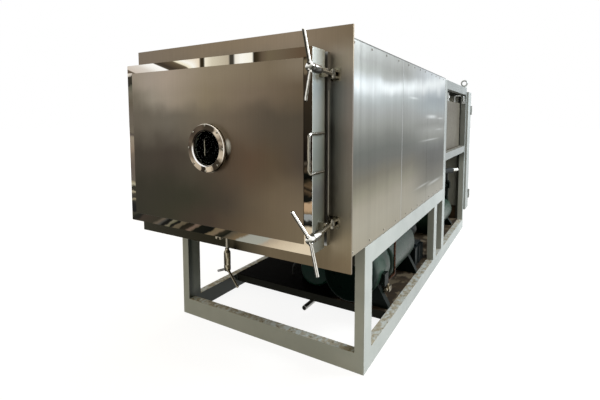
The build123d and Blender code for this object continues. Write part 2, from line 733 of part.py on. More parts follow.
# ---------------------------------------------------------------- mask plate and cladding
def mask_plate():
    """Front sheet with folded edges and a cut-out round the chamber flange."""
    half = HALF_FRAME + MASK_OVERHANG
    back = MASK_FRONT_Y + MASK_RETURN
    shell = block(-half, half, MASK_FRONT_Y, back, MASK_BOTTOM, MASK_TOP)
    shell -= block(-half + MASK_SHEET, half - MASK_SHEET, MASK_FRONT_Y + MASK_SHEET, back,
                   MASK_BOTTOM + MASK_SHEET, MASK_TOP - MASK_SHEET)
    hole_x = FLANGE_WIDTH / 2 + LOOSE_FIT
    hole_z = FLANGE_HEIGHT / 2 + LOOSE_FIT
    return shell - block(-hole_x, hole_x, MASK_FRONT_Y, back, CENTRE_Z - hole_z, CENTRE_Z + hole_z)


def cladding_edges():
    """Where each cladding panel starts and ends along the machine."""
    half = CLAD_SEAM_GAP / 2
    starts = [CLAD_FRONT] + [y + half for y in CLAD_SEAMS_Y]
    ends = [y - half for y in CLAD_SEAMS_Y] + [CLAD_REAR]
    return list(zip(starts, ends))


def side_panel(side, y0, y1):
    """A cladding sheet with its front and rear edges folded inwards."""
    top = CLAD_TOP - CLAD_SHEET
    skin = block(*span(side, HALF_FRAME - CLAD_SHEET, HALF_FRAME), y0, y1, CLAD_BOTTOM, top)
    for e0, e1 in ((y0, y0 + CLAD_SHEET), (y1 - CLAD_SHEET, y1)):
        x0, x1 = span(side, HALF_FRAME - CLAD_RETURN, HALF_FRAME - CLAD_SHEET)
        skin += block(x0, x1, e0, e1, CLAD_BOTTOM, top)
    return skin


def panel_screws():
    """Round-headed screws along the top and the foot of every side panel."""
    screws = []
    for y0, y1 in cladding_edges():
        step = (y1 - y0 - 2 * PANEL_SCREW_INSET) / (PANEL_SCREWS_ALONG - 1)
        for z in (CLAD_TOP - PANEL_SCREW_DROP, CLAD_BOTTOM + PANEL_SCREW_DROP):
            for k in range(PANEL_SCREWS_ALONG):
                y = y0 + PANEL_SCREW_INSET + k * step
                for x in (HALF_FRAME, -HALF_FRAME - PANEL_SCREW_RISE):
                    screws.append(rod("x", x, y, z, PANEL_SCREW_HEAD, PANEL_SCREW_RISE))
    return screws


def cladding():
    save("mask_plate", mask_plate())
    edges = cladding_edges()
    save("side_panels", [side_panel(s, y0, y1) for s in (1, -1) for y0, y1 in edges])
    covers = [block(-HALF_FRAME, HALF_FRAME, y0, y1, CLAD_TOP - CLAD_SHEET, CLAD_TOP)
              for y0, y1 in edges]
    covers.append(block(-INNER_FRAME, INNER_FRAME, CLAD_REAR, CLAD_REAR + CLAD_SHEET,
                        CLAD_BOTTOM, CLAD_TOP - CLAD_SHEET))
    save("cover_panels", covers)
    save("cladding_screws", panel_screws())


# ---------------------------------------------------------------- door
def sight_cut(start, length, radius):
    """A round cutter through the door on the sight glass's axis."""
    return rod("y", SIGHT_X, start, CENTRE_Z, radius, length)


def door():
    tube = SIGHT_BORE + SIGHT_TUBE_WALL + LOOSE_FIT
    pan = block(-DOOR_SIDE, DOOR_SIDE, DOOR_FRONT_Y, DOOR_BACK, DOOR_BOTTOM, DOOR_TOP)
    pan = fillet(pan.edges().filter_by(Axis.Y), DOOR_CORNER)
    pan -= block(-DOOR_SIDE + DOOR_SHEET, DOOR_SIDE - DOOR_SHEET, DOOR_FRONT_Y + DOOR_SHEET,
                 DOOR_BACK, DOOR_BOTTOM + DOOR_SHEET, DOOR_TOP - DOOR_SHEET)
    save("door_pan", pan - sight_cut(DOOR_FRONT_Y, DOOR_DEPTH, tube))

    wide = DOOR_SIDE - DOOR_PANEL_MARGIN[0]
    high = DOOR_HEIGHT / 2 - DOOR_PANEL_MARGIN[1]
    panel = block(-wide, wide, DOOR_FACE, DOOR_FRONT_Y, CENTRE_Z - high, CENTRE_Z + high)
    panel = chamfer(panel.faces().sort_by(Axis.Y)[0].edges(), 1.5)
    save("door_front_panel", panel - sight_cut(DOOR_FACE, DOOR_PANEL_THICK, tube))

    inset = DOOR_PLATE_INSET
    plate = block(-DOOR_SIDE + inset, DOOR_SIDE - inset, DOOR_BACK, DOOR_PLATE_BACK,
                  DOOR_BOTTOM + inset, DOOR_TOP - inset)
    plate -= sight_cut(DOOR_BACK, DOOR_PLATE_THICK, tube)
    rail = DOOR_SHEET + LOOSE_FIT
    ribs = [block(x, x + DOOR_RIB, DOOR_FRONT_Y + DOOR_SHEET, DOOR_BACK, DOOR_BOTTOM + rail,
                  DOOR_TOP - rail) for x in DOOR_RIBS_X]
    save("door_plate", [plate] + ribs)
    save("door_seals", [door_seal()] + sight_gaskets())


def door_seal():
    """Rubber seal, one closed ring in line with the chamber flange."""
    flange_mid_x = CHAMBER_WIDTH / 2 + SEAL_INSET
    flange_mid_z = CHAMBER_HEIGHT / 2 + SEAL_INSET
    half = SEAL_WIDTH / 2
    back = FLANGE_FRONT - SEAL_GAP
    outer = block(-flange_mid_x - half, flange_mid_x + half, DOOR_PLATE_BACK, back,
                  CENTRE_Z - flange_mid_z - half, CENTRE_Z + flange_mid_z + half)
    inner = block(-flange_mid_x + half, flange_mid_x - half, DOOR_PLATE_BACK, back,
                  CENTRE_Z - flange_mid_z + half, CENTRE_Z + flange_mid_z - half)
    outer = fillet(outer.edges().filter_by(Axis.Y), SEAL_CORNER)
    return outer - fillet(inner.edges().filter_by(Axis.Y), SEAL_CORNER - SEAL_WIDTH)


def sight_gaskets():
    """One flat gasket on each side of the sight glass."""
    return [ring("y", SIGHT_X, y, CENTRE_Z, GLASS_RADIUS, SIGHT_BORE + GASKET_THICK, GASKET_THICK)
            for y in (GLASS_SEAT_Y - GASKET_THICK, GLASS_FRONT_Y - GASKET_THICK)]


def sight_glass():
    ring_front = DOOR_FACE - SIGHT_RING_THICK
    tube = rod("y", SIGHT_X, DOOR_FACE, CENTRE_Z, SIGHT_BORE + SIGHT_TUBE_WALL,
               DOOR_PLATE_BACK - DOOR_FACE)
    neck = tube + rod("y", SIGHT_X, ring_front, CENTRE_Z, SIGHT_RADIUS, SIGHT_RING_THICK)
    neck -= rod("y", SIGHT_X, ring_front, CENTRE_Z, SIGHT_BORE, DOOR_PLATE_BACK - ring_front)
    neck -= rod("y", SIGHT_X, ring_front, CENTRE_Z, GLASS_RADIUS + LOOSE_FIT, GLASS_SEAT)
    cover_front = GLASS_FRONT_Y - GASKET_THICK - SIGHT_COVER_THICK
    cover = ring("y", SIGHT_X, cover_front, CENTRE_Z, SIGHT_RADIUS - 2, SIGHT_BORE + 1,
                 SIGHT_COVER_THICK)
    inner_edge = cover.edges().filter_by(GeomType.CIRCLE).group_by(Axis.Y)[0].sort_by(
        SortBy.RADIUS)[0]
    cover = chamfer(inner_edge, 6)
    screws = []
    for k in range(SIGHT_SCREWS):
        turn = math.radians(360 / SIGHT_SCREWS * k)
        x = SIGHT_X + SIGHT_SCREW_PITCH * math.cos(turn)
        z = CENTRE_Z + SIGHT_SCREW_PITCH * math.sin(turn)
        cover -= rod("y", x, cover_front, z, SIGHT_SCREW + LOOSE_FIT, SIGHT_COVER_THICK)
        neck -= rod("y", x, ring_front, z, SIGHT_SCREW + PIN_FIT, SIGHT_THREAD)
        head = rod("y", x, cover_front - SIGHT_SCREW_RISE, z, SIGHT_SCREW_HEAD, SIGHT_SCREW_RISE)
        head = chamfer(head.edges().group_by(Axis.Y)[0], 1)
        shank = rod("y", x, cover_front, z, SIGHT_SCREW, ring_front + SIGHT_THREAD - cover_front)
        screws.append(head + shank)
    save("sight_neck", neck)
    save("sight_glass", rod("y", SIGHT_X, GLASS_FRONT_Y, CENTRE_Z, GLASS_RADIUS, GLASS_THICK))
    save("sight_cover_ring", cover)
    save("sight_screws", screws)


def door_handle():
    """Bent round bar welded to the door's side face."""
    x = DOOR_SIDE + HANDLE_BAR + WELD_GAP
    points = [(x, HANDLE_ROOT_Y, HANDLE_TOP), (x, HANDLE_REACH_Y, HANDLE_TOP),
              (x, HANDLE_REACH_Y, HANDLE_BOTTOM), (x, HANDLE_ROOT_Y, HANDLE_BOTTOM)]
    return bent_bar(points, HANDLE_BAR, HANDLE_BEND)


# ---------------------------------------------------------------- hinges
def hinge_leaf(z):
    """Knuckle with a leaf to the door's side face."""
    height = HINGE_KNUCKLE_HEIGHT
    z0 = z - height / 2
    leaf = block(HINGE_X, -DOOR_SIDE, HINGE_Y - HINGE_LEAF / 2, HINGE_Y + HINGE_LEAF / 2, z0,
                 z0 + height)
    piece = leaf + rod("z", HINGE_X, HINGE_Y, z0, HINGE_KNUCKLE, height)
    return piece - rod("z", HINGE_X, HINGE_Y, z0, HINGE_PIN + SWING_FIT, height)


def hinge_bracket(z):
    """Base plate on the mask plate with a lug above and below the knuckle."""
    reach = HINGE_KNUCKLE_HEIGHT / 2 + HINGE_SPACE
    piece = block(HINGE_X - HINGE_BASE_HALF, HINGE_X + HINGE_BASE_HALF, MASK_FRONT_Y - HINGE_BASE,
                  MASK_FRONT_Y, z - reach - HINGE_LUG - BASE_MARGIN, z + reach + HINGE_LUG
                  + BASE_MARGIN)
    for z0 in (z + reach, z - reach - HINGE_LUG):
        lug = block(HINGE_X - HINGE_KNUCKLE, HINGE_X + HINGE_KNUCKLE, HINGE_Y,
                    MASK_FRONT_Y - HINGE_BASE, z0, z0 + HINGE_LUG)
        lug += rod("z", HINGE_X, HINGE_Y, z0, HINGE_KNUCKLE, HINGE_LUG)
        piece += lug
    tall = 2 * (reach + HINGE_LUG)
    return piece - rod("z", HINGE_X, HINGE_Y, z - tall / 2, HINGE_PIN + PIN_FIT, tall)


def headed_pin(x, y, z, radius, low, high, head=4.0):
    """A pin along Z between two heights about z, with a head on top."""
    shank = rod("z", x, y, z + low, radius, high - low)
    return shank + rod("z", x, y, z + high, radius * 1.5, head)


def hinge_pins():
    reach = HINGE_KNUCKLE_HEIGHT / 2 + HINGE_SPACE + HINGE_LUG
    return [headed_pin(HINGE_X, HINGE_Y, z, HINGE_PIN, -reach - PIN_TAIL, reach)
            for z in HINGE_ZS]


# ---------------------------------------------------------------- clamps
# A clamp is made in its own axes: pivot at the origin, pivot pin along Z, bolt along -Y.
# It is then turned to its place. The bottom clamp's pin lies along X and its bolt hangs down.
UPPER = Pos(CLAMP_X, CLAMP_Y, CLAMP_UPPER_Z)
LOWER = Pos(CLAMP_X, CLAMP_Y, CLAMP_LOWER_Z)
BOTTOM = Pos(CLAMP_BOTTOM_X, CLAMP_Y, CLAMP_BOTTOM_Z) * Rot(0, 90, 0)
SWUNG = Rot(0, 0, SWING_OPEN)
HANGING = Pos(CLAMP_BOTTOM_X, CLAMP_Y, CLAMP_BOTTOM_Z) * Rot(90, 0, 0) * Rot(0, 90, 0)


def clamp_bracket():
    """Base plate with two lugs that hold the pivot pin."""
    gap = EYE_THICK / 2 + HINGE_SPACE
    base = block(-CLAMP_BASE_HALF, CLAMP_BASE_HALF, CLAMP_STANDOFF - HINGE_BASE, CLAMP_STANDOFF,
                 -gap - LUG_THICK - BASE_MARGIN, gap + LUG_THICK + BASE_MARGIN)
    for z0 in (gap, -gap - LUG_THICK):
        base += block(-EYE_RADIUS, EYE_RADIUS, 0, CLAMP_STANDOFF - HINGE_BASE, z0, z0 + LUG_THICK)
        base += rod("z", 0, 0, z0, EYE_RADIUS, LUG_THICK)
    tall = 2 * (gap + LUG_THICK)
    return base - rod("z", 0, 0, -tall / 2, PIVOT_PIN + PIN_FIT, tall)


def clamp_pin():
    reach = EYE_THICK / 2 + HINGE_SPACE + LUG_THICK
    return headed_pin(0, 0, 0, PIVOT_PIN, -reach - PIN_TAIL, reach)


def clamp_bolt():
    """Eye bolt: a drilled boss with a round shank along -Y."""
    eye = rod("z", 0, 0, -EYE_THICK / 2, EYE_RADIUS, EYE_THICK)
    shank = rod("y", 0, -BOLT_LENGTH, 0, BOLT_RADIUS, BOLT_LENGTH)
    shank = chamfer(shank.edges().group_by(Axis.Y)[0], 1.5)
    return eye + shank - rod("z", 0, 0, -EYE_THICK / 2, PIVOT_PIN + SWING_FIT, EYE_THICK)


def clamp_nut(start, turn):
    """Long blind sleeve nut with a tapered neck and two swept arms, turned about the bolt."""
    end = start + NUT_LENGTH
    neck = start + NUT_NECK_LENGTH
    profile = Polyline((0, -start), (NUT_NECK, -start), (NUT_NECK, -neck),
                       (NUT_RADIUS, -neck - NUT_TAPER), (NUT_RADIUS, -end + 4),
                       (NUT_RADIUS - 4, -end), (0, -end), (0, -start))
    sleeve = revolve(make_face(profile), Axis.Y)
    hub = Pos(0, -end + HUB_INSET, 0) * Rot(0, turn, 0)
    for up in (1, -1):
        bar = Cylinder(ARM_RADIUS, ARM_LENGTH, align=(Align.CENTER, Align.CENTER, Align.MIN))
        bar = fillet(bar.edges().sort_by(Axis.Z)[-1], 2.5)
        sleeve += hub * Rot(90 - up * (90 - ARM_SWEEP), 0, 0) * bar
    return sleeve - rod("y", 0, -start - NUT_BORE_DEPTH, 0, BOLT_RADIUS + SWING_FIT,
                        NUT_BORE_DEPTH)


def door_catch():
    """A forked lug: the slot takes the clamp bolt and the nut bears on its front face."""
    width = FORK_SLOT + FORK_PRONG
    tip = DOOR_SIDE + FORK_REACH
    front = FORK_FRONT_Y
    plate = block(DOOR_SIDE, tip, front, front + FORK_THICK, -width, width)
    plate = fillet(plate.edges().filter_by(Axis.Y).group_by(Axis.X)[-1], 5)
    for z0 in (-width, width - GUSSET_THICK):
        gusset = block(DOOR_SIDE, DOOR_SIDE + GUSSET_REACH, front + FORK_THICK,
                       front + FORK_DEPTH, z0, z0 + GUSSET_THICK)
        corner = gusset.edges().filter_by(Axis.Z).group_by(Axis.X)[-1].sort_by(Axis.Y)[-1]
        plate += chamfer(corner, 18)
    plate -= rod("y", CLAMP_X, front, 0, FORK_SLOT, FORK_THICK)
    return plate - block(CLAMP_X, tip + 1, front, front + FORK_THICK, -FORK_SLOT, FORK_SLOT)


def clamps():
    places = (("upper", UPPER * SWUNG, NUT_BACKED_OFF, ARM_TURN_UPPER),
              ("lower", LOWER * SWUNG, NUT_BACKED_OFF, ARM_TURN_LOWER),
              ("bottom", HANGING, NUT_HANGING, ARM_TURN_BOTTOM))
    for name, place, start, turn in places:
        save(f"clamp_bolt_{name}", place * clamp_bolt())
        save(f"clamp_nut_{name}", place * clamp_nut(start, turn))
    catch = door_catch()
    under = Pos(CLAMP_BOTTOM_X, 0, DOOR_BOTTOM) * Rot(0, 90, 0) * Pos(-DOOR_SIDE, 0, 0)
    save("door_catches", [Pos(0, 0, CLAMP_UPPER_Z) * catch, Pos(0, 0, CLAMP_LOWER_Z) * catch,
                          under * catch])


# ---------------------------------------------------------------- machinery under the chamber
def capped_cylinder(x, y0, y1, z, radius, edge):
    """A horizontal closed cylinder with rounded ends."""
    body = rod("y", x, y0, z, radius, y1 - y0)
    return fillet(body.edges().filter_by(GeomType.CIRCLE), edge)


def saddle(x, y, z, radius, half, floor=FLOOR_TOP, thick=FOOT_THICK):
    """A foot on the floor, hollowed to carry a horizontal cylinder."""
    top = z - radius * FOOT_DROP_SHARE
    toe = floor + FOOT_TOE
    inner = radius * FOOT_TOP_SHARE
    outline = Polyline((x - half, floor), (x + half, floor), (x + half, toe), (x + inner, top),
                       (x - inner, top), (x - half, toe), (x - half, floor))
    foot = extrude(Plane(origin=(0, y - thick / 2, 0), x_dir=(1, 0, 0), z_dir=(0, -1, 0))
                   * make_face(outline), -thick)
    return foot - rod("y", x, y - thick, z, radius + WELD_GAP, thick * 2)


def compressor():
    front = capped_cylinder(COMP_X, COMP_FRONT_Y, COMP_BAND_Y, COMP_Z, COMP_FRONT_RADIUS,
                            COMP_EDGE)
    rear = capped_cylinder(COMP_X, COMP_BAND_Y + COMP_BAND_GAP, COMP_REAR_Y, COMP_Z, COMP_RADIUS,
                           COMP_EDGE)
    neck = rod("y", COMP_X, COMP_BAND_Y - COMP_NECK_LAP, COMP_Z,
               COMP_FRONT_RADIUS - COMP_NECK_INSET, COMP_BAND_GAP + 2 * COMP_NECK_LAP)
    save("compressor_shell", front + rear + neck)

    cover_front = COMP_FRONT_Y - COMP_COVER_THICK
    cover = rod("y", COMP_X, cover_front, COMP_Z, COMP_COVER, COMP_COVER_THICK)
    for k in range(COVER_BOLTS):
        turn = 2 * math.pi * k / COVER_BOLTS
        cover += rod("y", COMP_X + COVER_BOLT_CIRCLE * math.cos(turn),
                     cover_front - COVER_BOLT_RISE, COMP_Z + COVER_BOLT_CIRCLE * math.sin(turn),
                     COVER_BOLT, COVER_BOLT_LENGTH)
    save("compressor_end_cover", cover)

    seat = rod("y", COMP_X, COMP_FRONT_Y, COMP_Z, COMP_FRONT_RADIUS + WELD_GAP,
               COMP_BAND_Y - COMP_FRONT_Y)
    save("oil_sight_box", oil_box() - seat)
    pipe_x = COMP_X + COMP_FRONT_RADIUS + VALVE_OFF_SIDE
    pipe_y = COMP_FEET_Y[0] + VALVE_BEHIND_FOOT
    save("service_valve", service_valve(pipe_x, pipe_y) - seat)
    save("suction_pipe", suction_pipe(pipe_x, pipe_y))


def oil_box():
    """Box with the oil sight on the compressor's side."""
    side = COMP_X + COMP_FRONT_RADIUS
    y = COMP_FEET_Y[0]
    box = block(side - OIL_BOX_SUNK, side + OIL_BOX_PROUD, y - OIL_BOX_WIDTH / 2,
                y + OIL_BOX_WIDTH / 2, COMP_Z - OIL_BOX_BELOW, COMP_Z + OIL_BOX_ABOVE)
    return fillet(box.edges().filter_by(Axis.X), OIL_BOX_CORNER)


def service_valve(x, y):
    """Service valve under the suction pipe, with its cap towards the front."""
    neck_bottom = COMP_Z - VALVE_BELOW_AXIS - VALVE_NECK_HEIGHT
    half = VALVE_WIDTH / 2
    valve = block(x - VALVE_INNER, x + VALVE_OUTER, y - half, y + half,
                  neck_bottom - VALVE_HEIGHT, neck_bottom)
    valve += rod("y", x, y - half - VALVE_CAP_LENGTH, neck_bottom - VALVE_HEIGHT / 2, VALVE_CAP,
                 VALVE_CAP_LENGTH)
    return valve + rod("z", x, y, neck_bottom, VALVE_NECK, VALVE_NECK_HEIGHT - WELD_GAP)


def suction_pipe(x, y):
    """Pipe from the service valve, up the compressor's side and in over the chamber rail."""
    low = COMP_Z - VALVE_BELOW_AXIS
    out = x + SUCTION_STEP
    back = y + SUCTION_BACK
    high = CHAMBER_RAIL_BOTTOM - SUCTION_UNDER_RAIL
    points = [(x, y, low), (x, y, low + SUCTION_RISE),
              (out, back, low + SUCTION_RISE + SUCTION_STEP), (out, back, high),
              (out - SUCTION_OVER, back, high + SUCTION_TURN_RISE),
              (out - SUCTION_END_OVER, back, CHAMBER_RAIL_BOTTOM + SUCTION_END_RISE)]
    return bent_bar(points, SUCTION_PIPE, SUCTION_BENDS)


def second_compressor():
    """A smaller compressor with a finned cylinder head low on its right side."""
    body = capped_cylinder(COMP2_X, COMP2_FRONT_Y, COMP2_REAR_Y, COMP2_Z, COMP2_RADIUS,
                           COMP2_EDGE)
    root = COMP2_RADIUS - HEAD_SUNK
    tip = COMP2_RADIUS + HEAD_PROUD
    front = COMP2_FRONT_Y + HEAD_SETBACK
    head = block(root, tip, front, front + HEAD_LENGTH, -HEAD_HALF_HEIGHT, HEAD_HALF_HEIGHT)
    for z in HEAD_SLOTS_Z:
        head -= block(COMP2_RADIUS + HEAD_SUNK, tip, front, front + HEAD_LENGTH,
                      z - HEAD_SLOT_HALF, z + HEAD_SLOT_HALF)
    save("second_compressor", body + Pos(COMP2_X, 0, COMP2_Z) * Rot(0, HEAD_TILT, 0) * head)
    side = COMP2_X - COMP2_RADIUS - WELD_GAP
    y = COMP2_FEET_Y[0] + HOSE_BEHIND_FOOT
    hose = bent_bar([(side - HOSE_OUT, y, FLOOR_TOP + WELD_GAP), (side - HOSE_OUT, y, COMP2_Z),
                     (side, y, COMP2_Z)], HOSE_RADIUS, HOSE_BEND)
    save("oil_hose", hose)


def machine_feet():
    feet = [saddle(COMP_X, COMP_FEET_Y[0], COMP_Z, COMP_FRONT_RADIUS, FOOT_HALF),
            saddle(COMP_X, COMP_FEET_Y[1], COMP_Z, COMP_RADIUS, FOOT_HALF)]
    feet += [saddle(COMP2_X, y, COMP2_Z, COMP2_RADIUS, COMP2_RADIUS + COMP2_FOOT_REACH)
             for y in COMP2_FEET_Y]
    feet += [saddle(RECEIVER_X, y, RECEIVER_Z, RECEIVER_RADIUS,
                    RECEIVER_RADIUS + RECEIVER_FOOT_REACH) for y in RECEIVER_FEET_Y]
    save("machine_feet", feet)


def vacuum_pump():
    half = PUMP_WIDTH / 2
    body_y = PUMP_FRONT_Y + PUMP_END_LENGTH
    pump = block(PUMP_X - half, PUMP_X + half, PUMP_FRONT_Y, body_y, FLOOR_TOP,
                 PUMP_TOP - PUMP_STEP)
    pump += block(PUMP_X - half + PUMP_INSET, PUMP_X + half - PUMP_INSET, body_y, PUMP_REAR_Y,
                  FLOOR_TOP, PUMP_TOP)
    pitch = (PUMP_REAR_Y - body_y) / PUMP_FINS
    for k in range(PUMP_FINS):
        y = body_y + PUMP_FIN_GAP + pitch * k
        pump += block(PUMP_X - half - PUMP_STEP, PUMP_X + half + PUMP_STEP, y, y + pitch / 2,
                      FLOOR_TOP + PUMP_FIN_LIFT, PUMP_TOP - PUMP_STEP)
    motor_z = PUMP_TOP + MOTOR_RADIUS + MOTOR_LIFT
    motor = capped_cylinder(PUMP_X, PUMP_FRONT_Y - MOTOR_OVERHANG, PUMP_REAR_Y + PUMP_STEP,
                            motor_z, MOTOR_RADIUS, MOTOR_EDGE)
    motor += block(PUMP_X - MOTOR_FOOT_HALF, PUMP_X + MOTOR_FOOT_HALF, body_y + PUMP_STEP,
                   PUMP_REAR_Y - MOTOR_FOOT_HALF, PUMP_TOP, motor_z)
    save("vacuum_pump", [pump, motor])


def drain_pipe():
    z = RAIL_TOP - BEARER_SIZE - DRAIN_RADIUS - LOOSE_FIT
    return ring("y", DRAIN_X, DRAIN_OPEN_Y, z, DRAIN_RADIUS, DRAIN_RADIUS - DRAIN_WALL,
                DRAIN_LENGTH)


# ---------------------------------------------------------------- rear bay
def receiver():
    save("receiver", capped_cylinder(RECEIVER_X, RECEIVER_FRONT_Y, RECEIVER_REAR_Y, RECEIVER_Z,
                                     RECEIVER_RADIUS, RECEIVER_EDGE))
    x, y = RECEIVER_VALVE_X, RECEIVER_VALVE_Y
    low, high = VALVE_BODY_Z
    valve = rod("z", x, y, RECEIVER_Z, STEM_RADIUS, STEM_HEIGHT)
    valve += block(x - VALVE_BODY_HALF_X, x + VALVE_BODY_HALF_X, y - VALVE_BODY_HALF_Y,
                   y + VALVE_BODY_HALF_Y, low, high)
    valve += rod("y", x, y - SPINDLE_REACH, (low + high) / 2, SPINDLE_RADIUS, SPINDLE_LENGTH)
    valve += rod("z", x, y, high, BONNET_RADIUS, BONNET_HEIGHT)
    seat = rod("y", RECEIVER_X, RECEIVER_FRONT_Y, RECEIVER_Z, RECEIVER_RADIUS + WELD_GAP,
               RECEIVER_REAR_Y - RECEIVER_FRONT_Y)
    save("receiver_valve", valve - seat)
    stem_bottom = high + BONNET_HEIGHT
    stem = rod("z", x, y, stem_bottom, DISCHARGE_STEM, DISCHARGE_Z - stem_bottom)
    run = rod("y", 0, -SLEEVE_AHEAD, 0, SLEEVE_RADIUS, SLEEVE_AHEAD + SLEEVE_BEHIND)
    run += rod("y", 0, SLEEVE_BEHIND, 0, DISCHARGE_RADIUS, DISCHARGE_LENGTH - SLEEVE_BEHIND)
    save("discharge_pipe", stem + Pos(x, y, DISCHARGE_Z) * Rot(0, 0, -DISCHARGE_TURN) * run)


def riser():
    """Capped pipe with a flange, a collar and a lever, standing on the tank casing."""
    x, y, z = RISER_X, RISER_Y, CASING_TOP
    piece = rod("z", x, y, z, RISER_RADIUS, RISER_HEIGHT)
    piece += rod("z", x, y, z, RISER_FLANGE, RISER_FLANGE_THICK)
    piece += rod("z", x, y, z + RISER_COLLAR_LIFT, RISER_FLANGE, RISER_COLLAR_HEIGHT)
    return piece + rod("x", x - RISER_LEVER_REACH, y, z + RISER_LEVER_LIFT, RISER_LEVER,
                       RISER_LEVER_LENGTH)


def rear_bay():
    receiver()
    casing = block(CASING_OUT_X - CASING_WIDTH, CASING_OUT_X, CASING_FRONT_Y, CASING_REAR_Y,
                   BAY_SHELF_TOP, CASING_TOP)
    save("tank_casing", fillet(casing.edges().filter_by(Axis.Z), CASING_CORNER))
    junction = block(*JUNCTION_X, JUNCTION_FRONT_Y, REAR_POST_FRONT, *JUNCTION_Z)
    y = (JUNCTION_FRONT_Y + REAR_POST_FRONT) / 2 - CONDUIT_SETBACK
    near, far = CONDUIT_X
    conduit = bent_bar([(near, y, CASING_TOP + WELD_GAP), (near, y, CONDUIT_TOP),
                        (far, y, CONDUIT_TOP), (far, y, JUNCTION_Z[1] + WELD_GAP)],
                       CONDUIT_RADIUS, CONDUIT_BEND)
    save("bay_pipes", [junction, conduit, riser()])


# ---------------------------------------------------------------- cold trap
def cold_trap():
    outer = capped_cylinder(0, TRAP_FRONT_Y, TRAP_REAR_Y, CENTRE_Z, TRAP_RADIUS, TRAP_KNUCKLE)
    inner = capped_cylinder(0, TRAP_FRONT_Y + TRAP_WALL, TRAP_REAR_Y - TRAP_WALL, CENTRE_Z,
                            TRAP_RADIUS - TRAP_WALL, TRAP_KNUCKLE - TRAP_WALL)
    vessel = outer - inner
    vessel -= rod("y", 0, TRAP_FRONT_Y, CENTRE_Z, DUCT_RADIUS - DUCT_WALL, TRAP_KNUCKLE)
    ends = (TRAP_FRONT_Y, TRAP_FRONT_Y + TRAP_KNUCKLE, TRAP_REAR_Y - TRAP_KNUCKLE, TRAP_REAR_Y)
    reach = TRAP_RADIUS * 1.1
    pieces = [vessel & block(-reach, reach, y0, y1, CENTRE_Z - reach, CENTRE_Z + reach)
              for y0, y1 in zip(ends, ends[1:])]
    back = CHAMBER_BACK_Y + CHAMBER_WALL
    pieces.append(ring("y", 0, back, CENTRE_Z, DUCT_RADIUS, DUCT_RADIUS - DUCT_WALL,
                       TRAP_FRONT_Y - back))
    save("cold_trap_vessel", pieces)
    save("trap_coils", [coil_bank(x) for x in COIL_BANKS_X])


def coil_bank(x):
    """One serpentine bank of cooling tube, standing in the cold trap."""
    y0 = TRAP_FRONT_Y + COIL_END
    y1 = TRAP_REAR_Y - COIL_END
    low = CENTRE_Z - COIL_STEP * (COIL_RUNS - 1) / 2
    edge = abs(x) + COIL_BAR
    drop = math.sqrt((TRAP_RADIUS - TRAP_WALL) ** 2 - edge ** 2)
    points = [(x, y0, CENTRE_Z - drop + WELD_GAP)]
    for k in range(COIL_RUNS):
        z = low + COIL_STEP * k
        near, far = (y0, y1) if k % 2 == 0 else (y1, y0)
        points += [(x, near, z), (x, far, z)]
    return bent_bar(points, COIL_BAR, COIL_STEP / 2 - 2)


# ---------------------------------------------------------------- control cabinet
def cabinet():
    x1 = CABINET_OUT_X
    x0 = x1 - CABINET_WIDTH
    sheet = CABINET_SHEET
    back = CABINET_BACK - CABINET_DOOR_THICK - CABINET_DOOR_GAP
    door_front = CABINET_BACK - CABINET_DOOR_THICK
    save("cabinet_shell", cabinet_sheets(x0, x1, back))
    save("switchgear", switchgear(x0, x1))

    latch_x = x0 + LATCH_INSET
    latch_z = (CABINET_BOTTOM + CABINET_TOP) / 2
    door_pan = block(x0, x1, door_front, CABINET_BACK, CABINET_BOTTOM, CABINET_TOP)
    door_pan -= block(x0 + sheet, x1 - sheet, door_front, CABINET_BACK - sheet,
                      CABINET_BOTTOM + sheet, CABINET_TOP - sheet)
    door_pan -= rod("y", latch_x, door_front, latch_z, LATCH_RADIUS + SWING_FIT,
                    CABINET_DOOR_THICK)
    axis_x = x1 + CABINET_KNUCKLE
    axis_y = CABINET_BACK - CABINET_DOOR_THICK / 2
    reach = CABINET_KNUCKLE_HEIGHT / 2 + CABINET_HINGE_SPACE
    plates = []
    pins = []
    for z in CABINET_HINGE_ZS:
        door_pan += cabinet_knuckle(x1, axis_x, axis_y, z)
        plates += [cabinet_lug(x1, axis_x, axis_y, back, low)
                   for low in (z - reach - CABINET_LUG_HEIGHT, z + reach)]
        half = reach + CABINET_LUG_HEIGHT
        pins.append(rod("z", axis_x, axis_y, z - half, CABINET_HINGE_PIN, 2 * half))
    save("cabinet_door", door_pan)
    save("cabinet_latch", latch(latch_x, latch_z, door_front))
    save("cabinet_hinge_plates", plates)
    return pins


def cabinet_sheets(x0, x1, back):
    """The cabinet's five walls, and the lip round its open back."""
    front, z0, z1 = CABINET_FRONT, CABINET_BOTTOM, CABINET_TOP
    sheet = CABINET_SHEET
    lip_x = (x0 + CABINET_LIP, x1 - CABINET_LIP)
    walls = [block(x0, x1, front, front + sheet, z0, z1)]
    for near, far in ((x0, x0 + sheet), (x1 - sheet, x1)):
        walls.append(block(near, far, front + sheet, back, z0, z1))
    for low, high in ((z0, z0 + sheet), (z1 - sheet, z1)):
        walls.append(block(x0 + sheet, x1 - sheet, front + sheet, back, low, high))
    for near, far in ((x0 + sheet, lip_x[0]), (lip_x[1], x1 - sheet)):
        walls.append(block(near, far, back - sheet, back, z0 + sheet, z1 - sheet))
    for low, high in ((z0 + sheet, z0 + CABINET_LIP), (z1 - CABINET_LIP, z1 - sheet)):
        walls.append(block(*lip_x, back - sheet, back, low, high))
    return walls


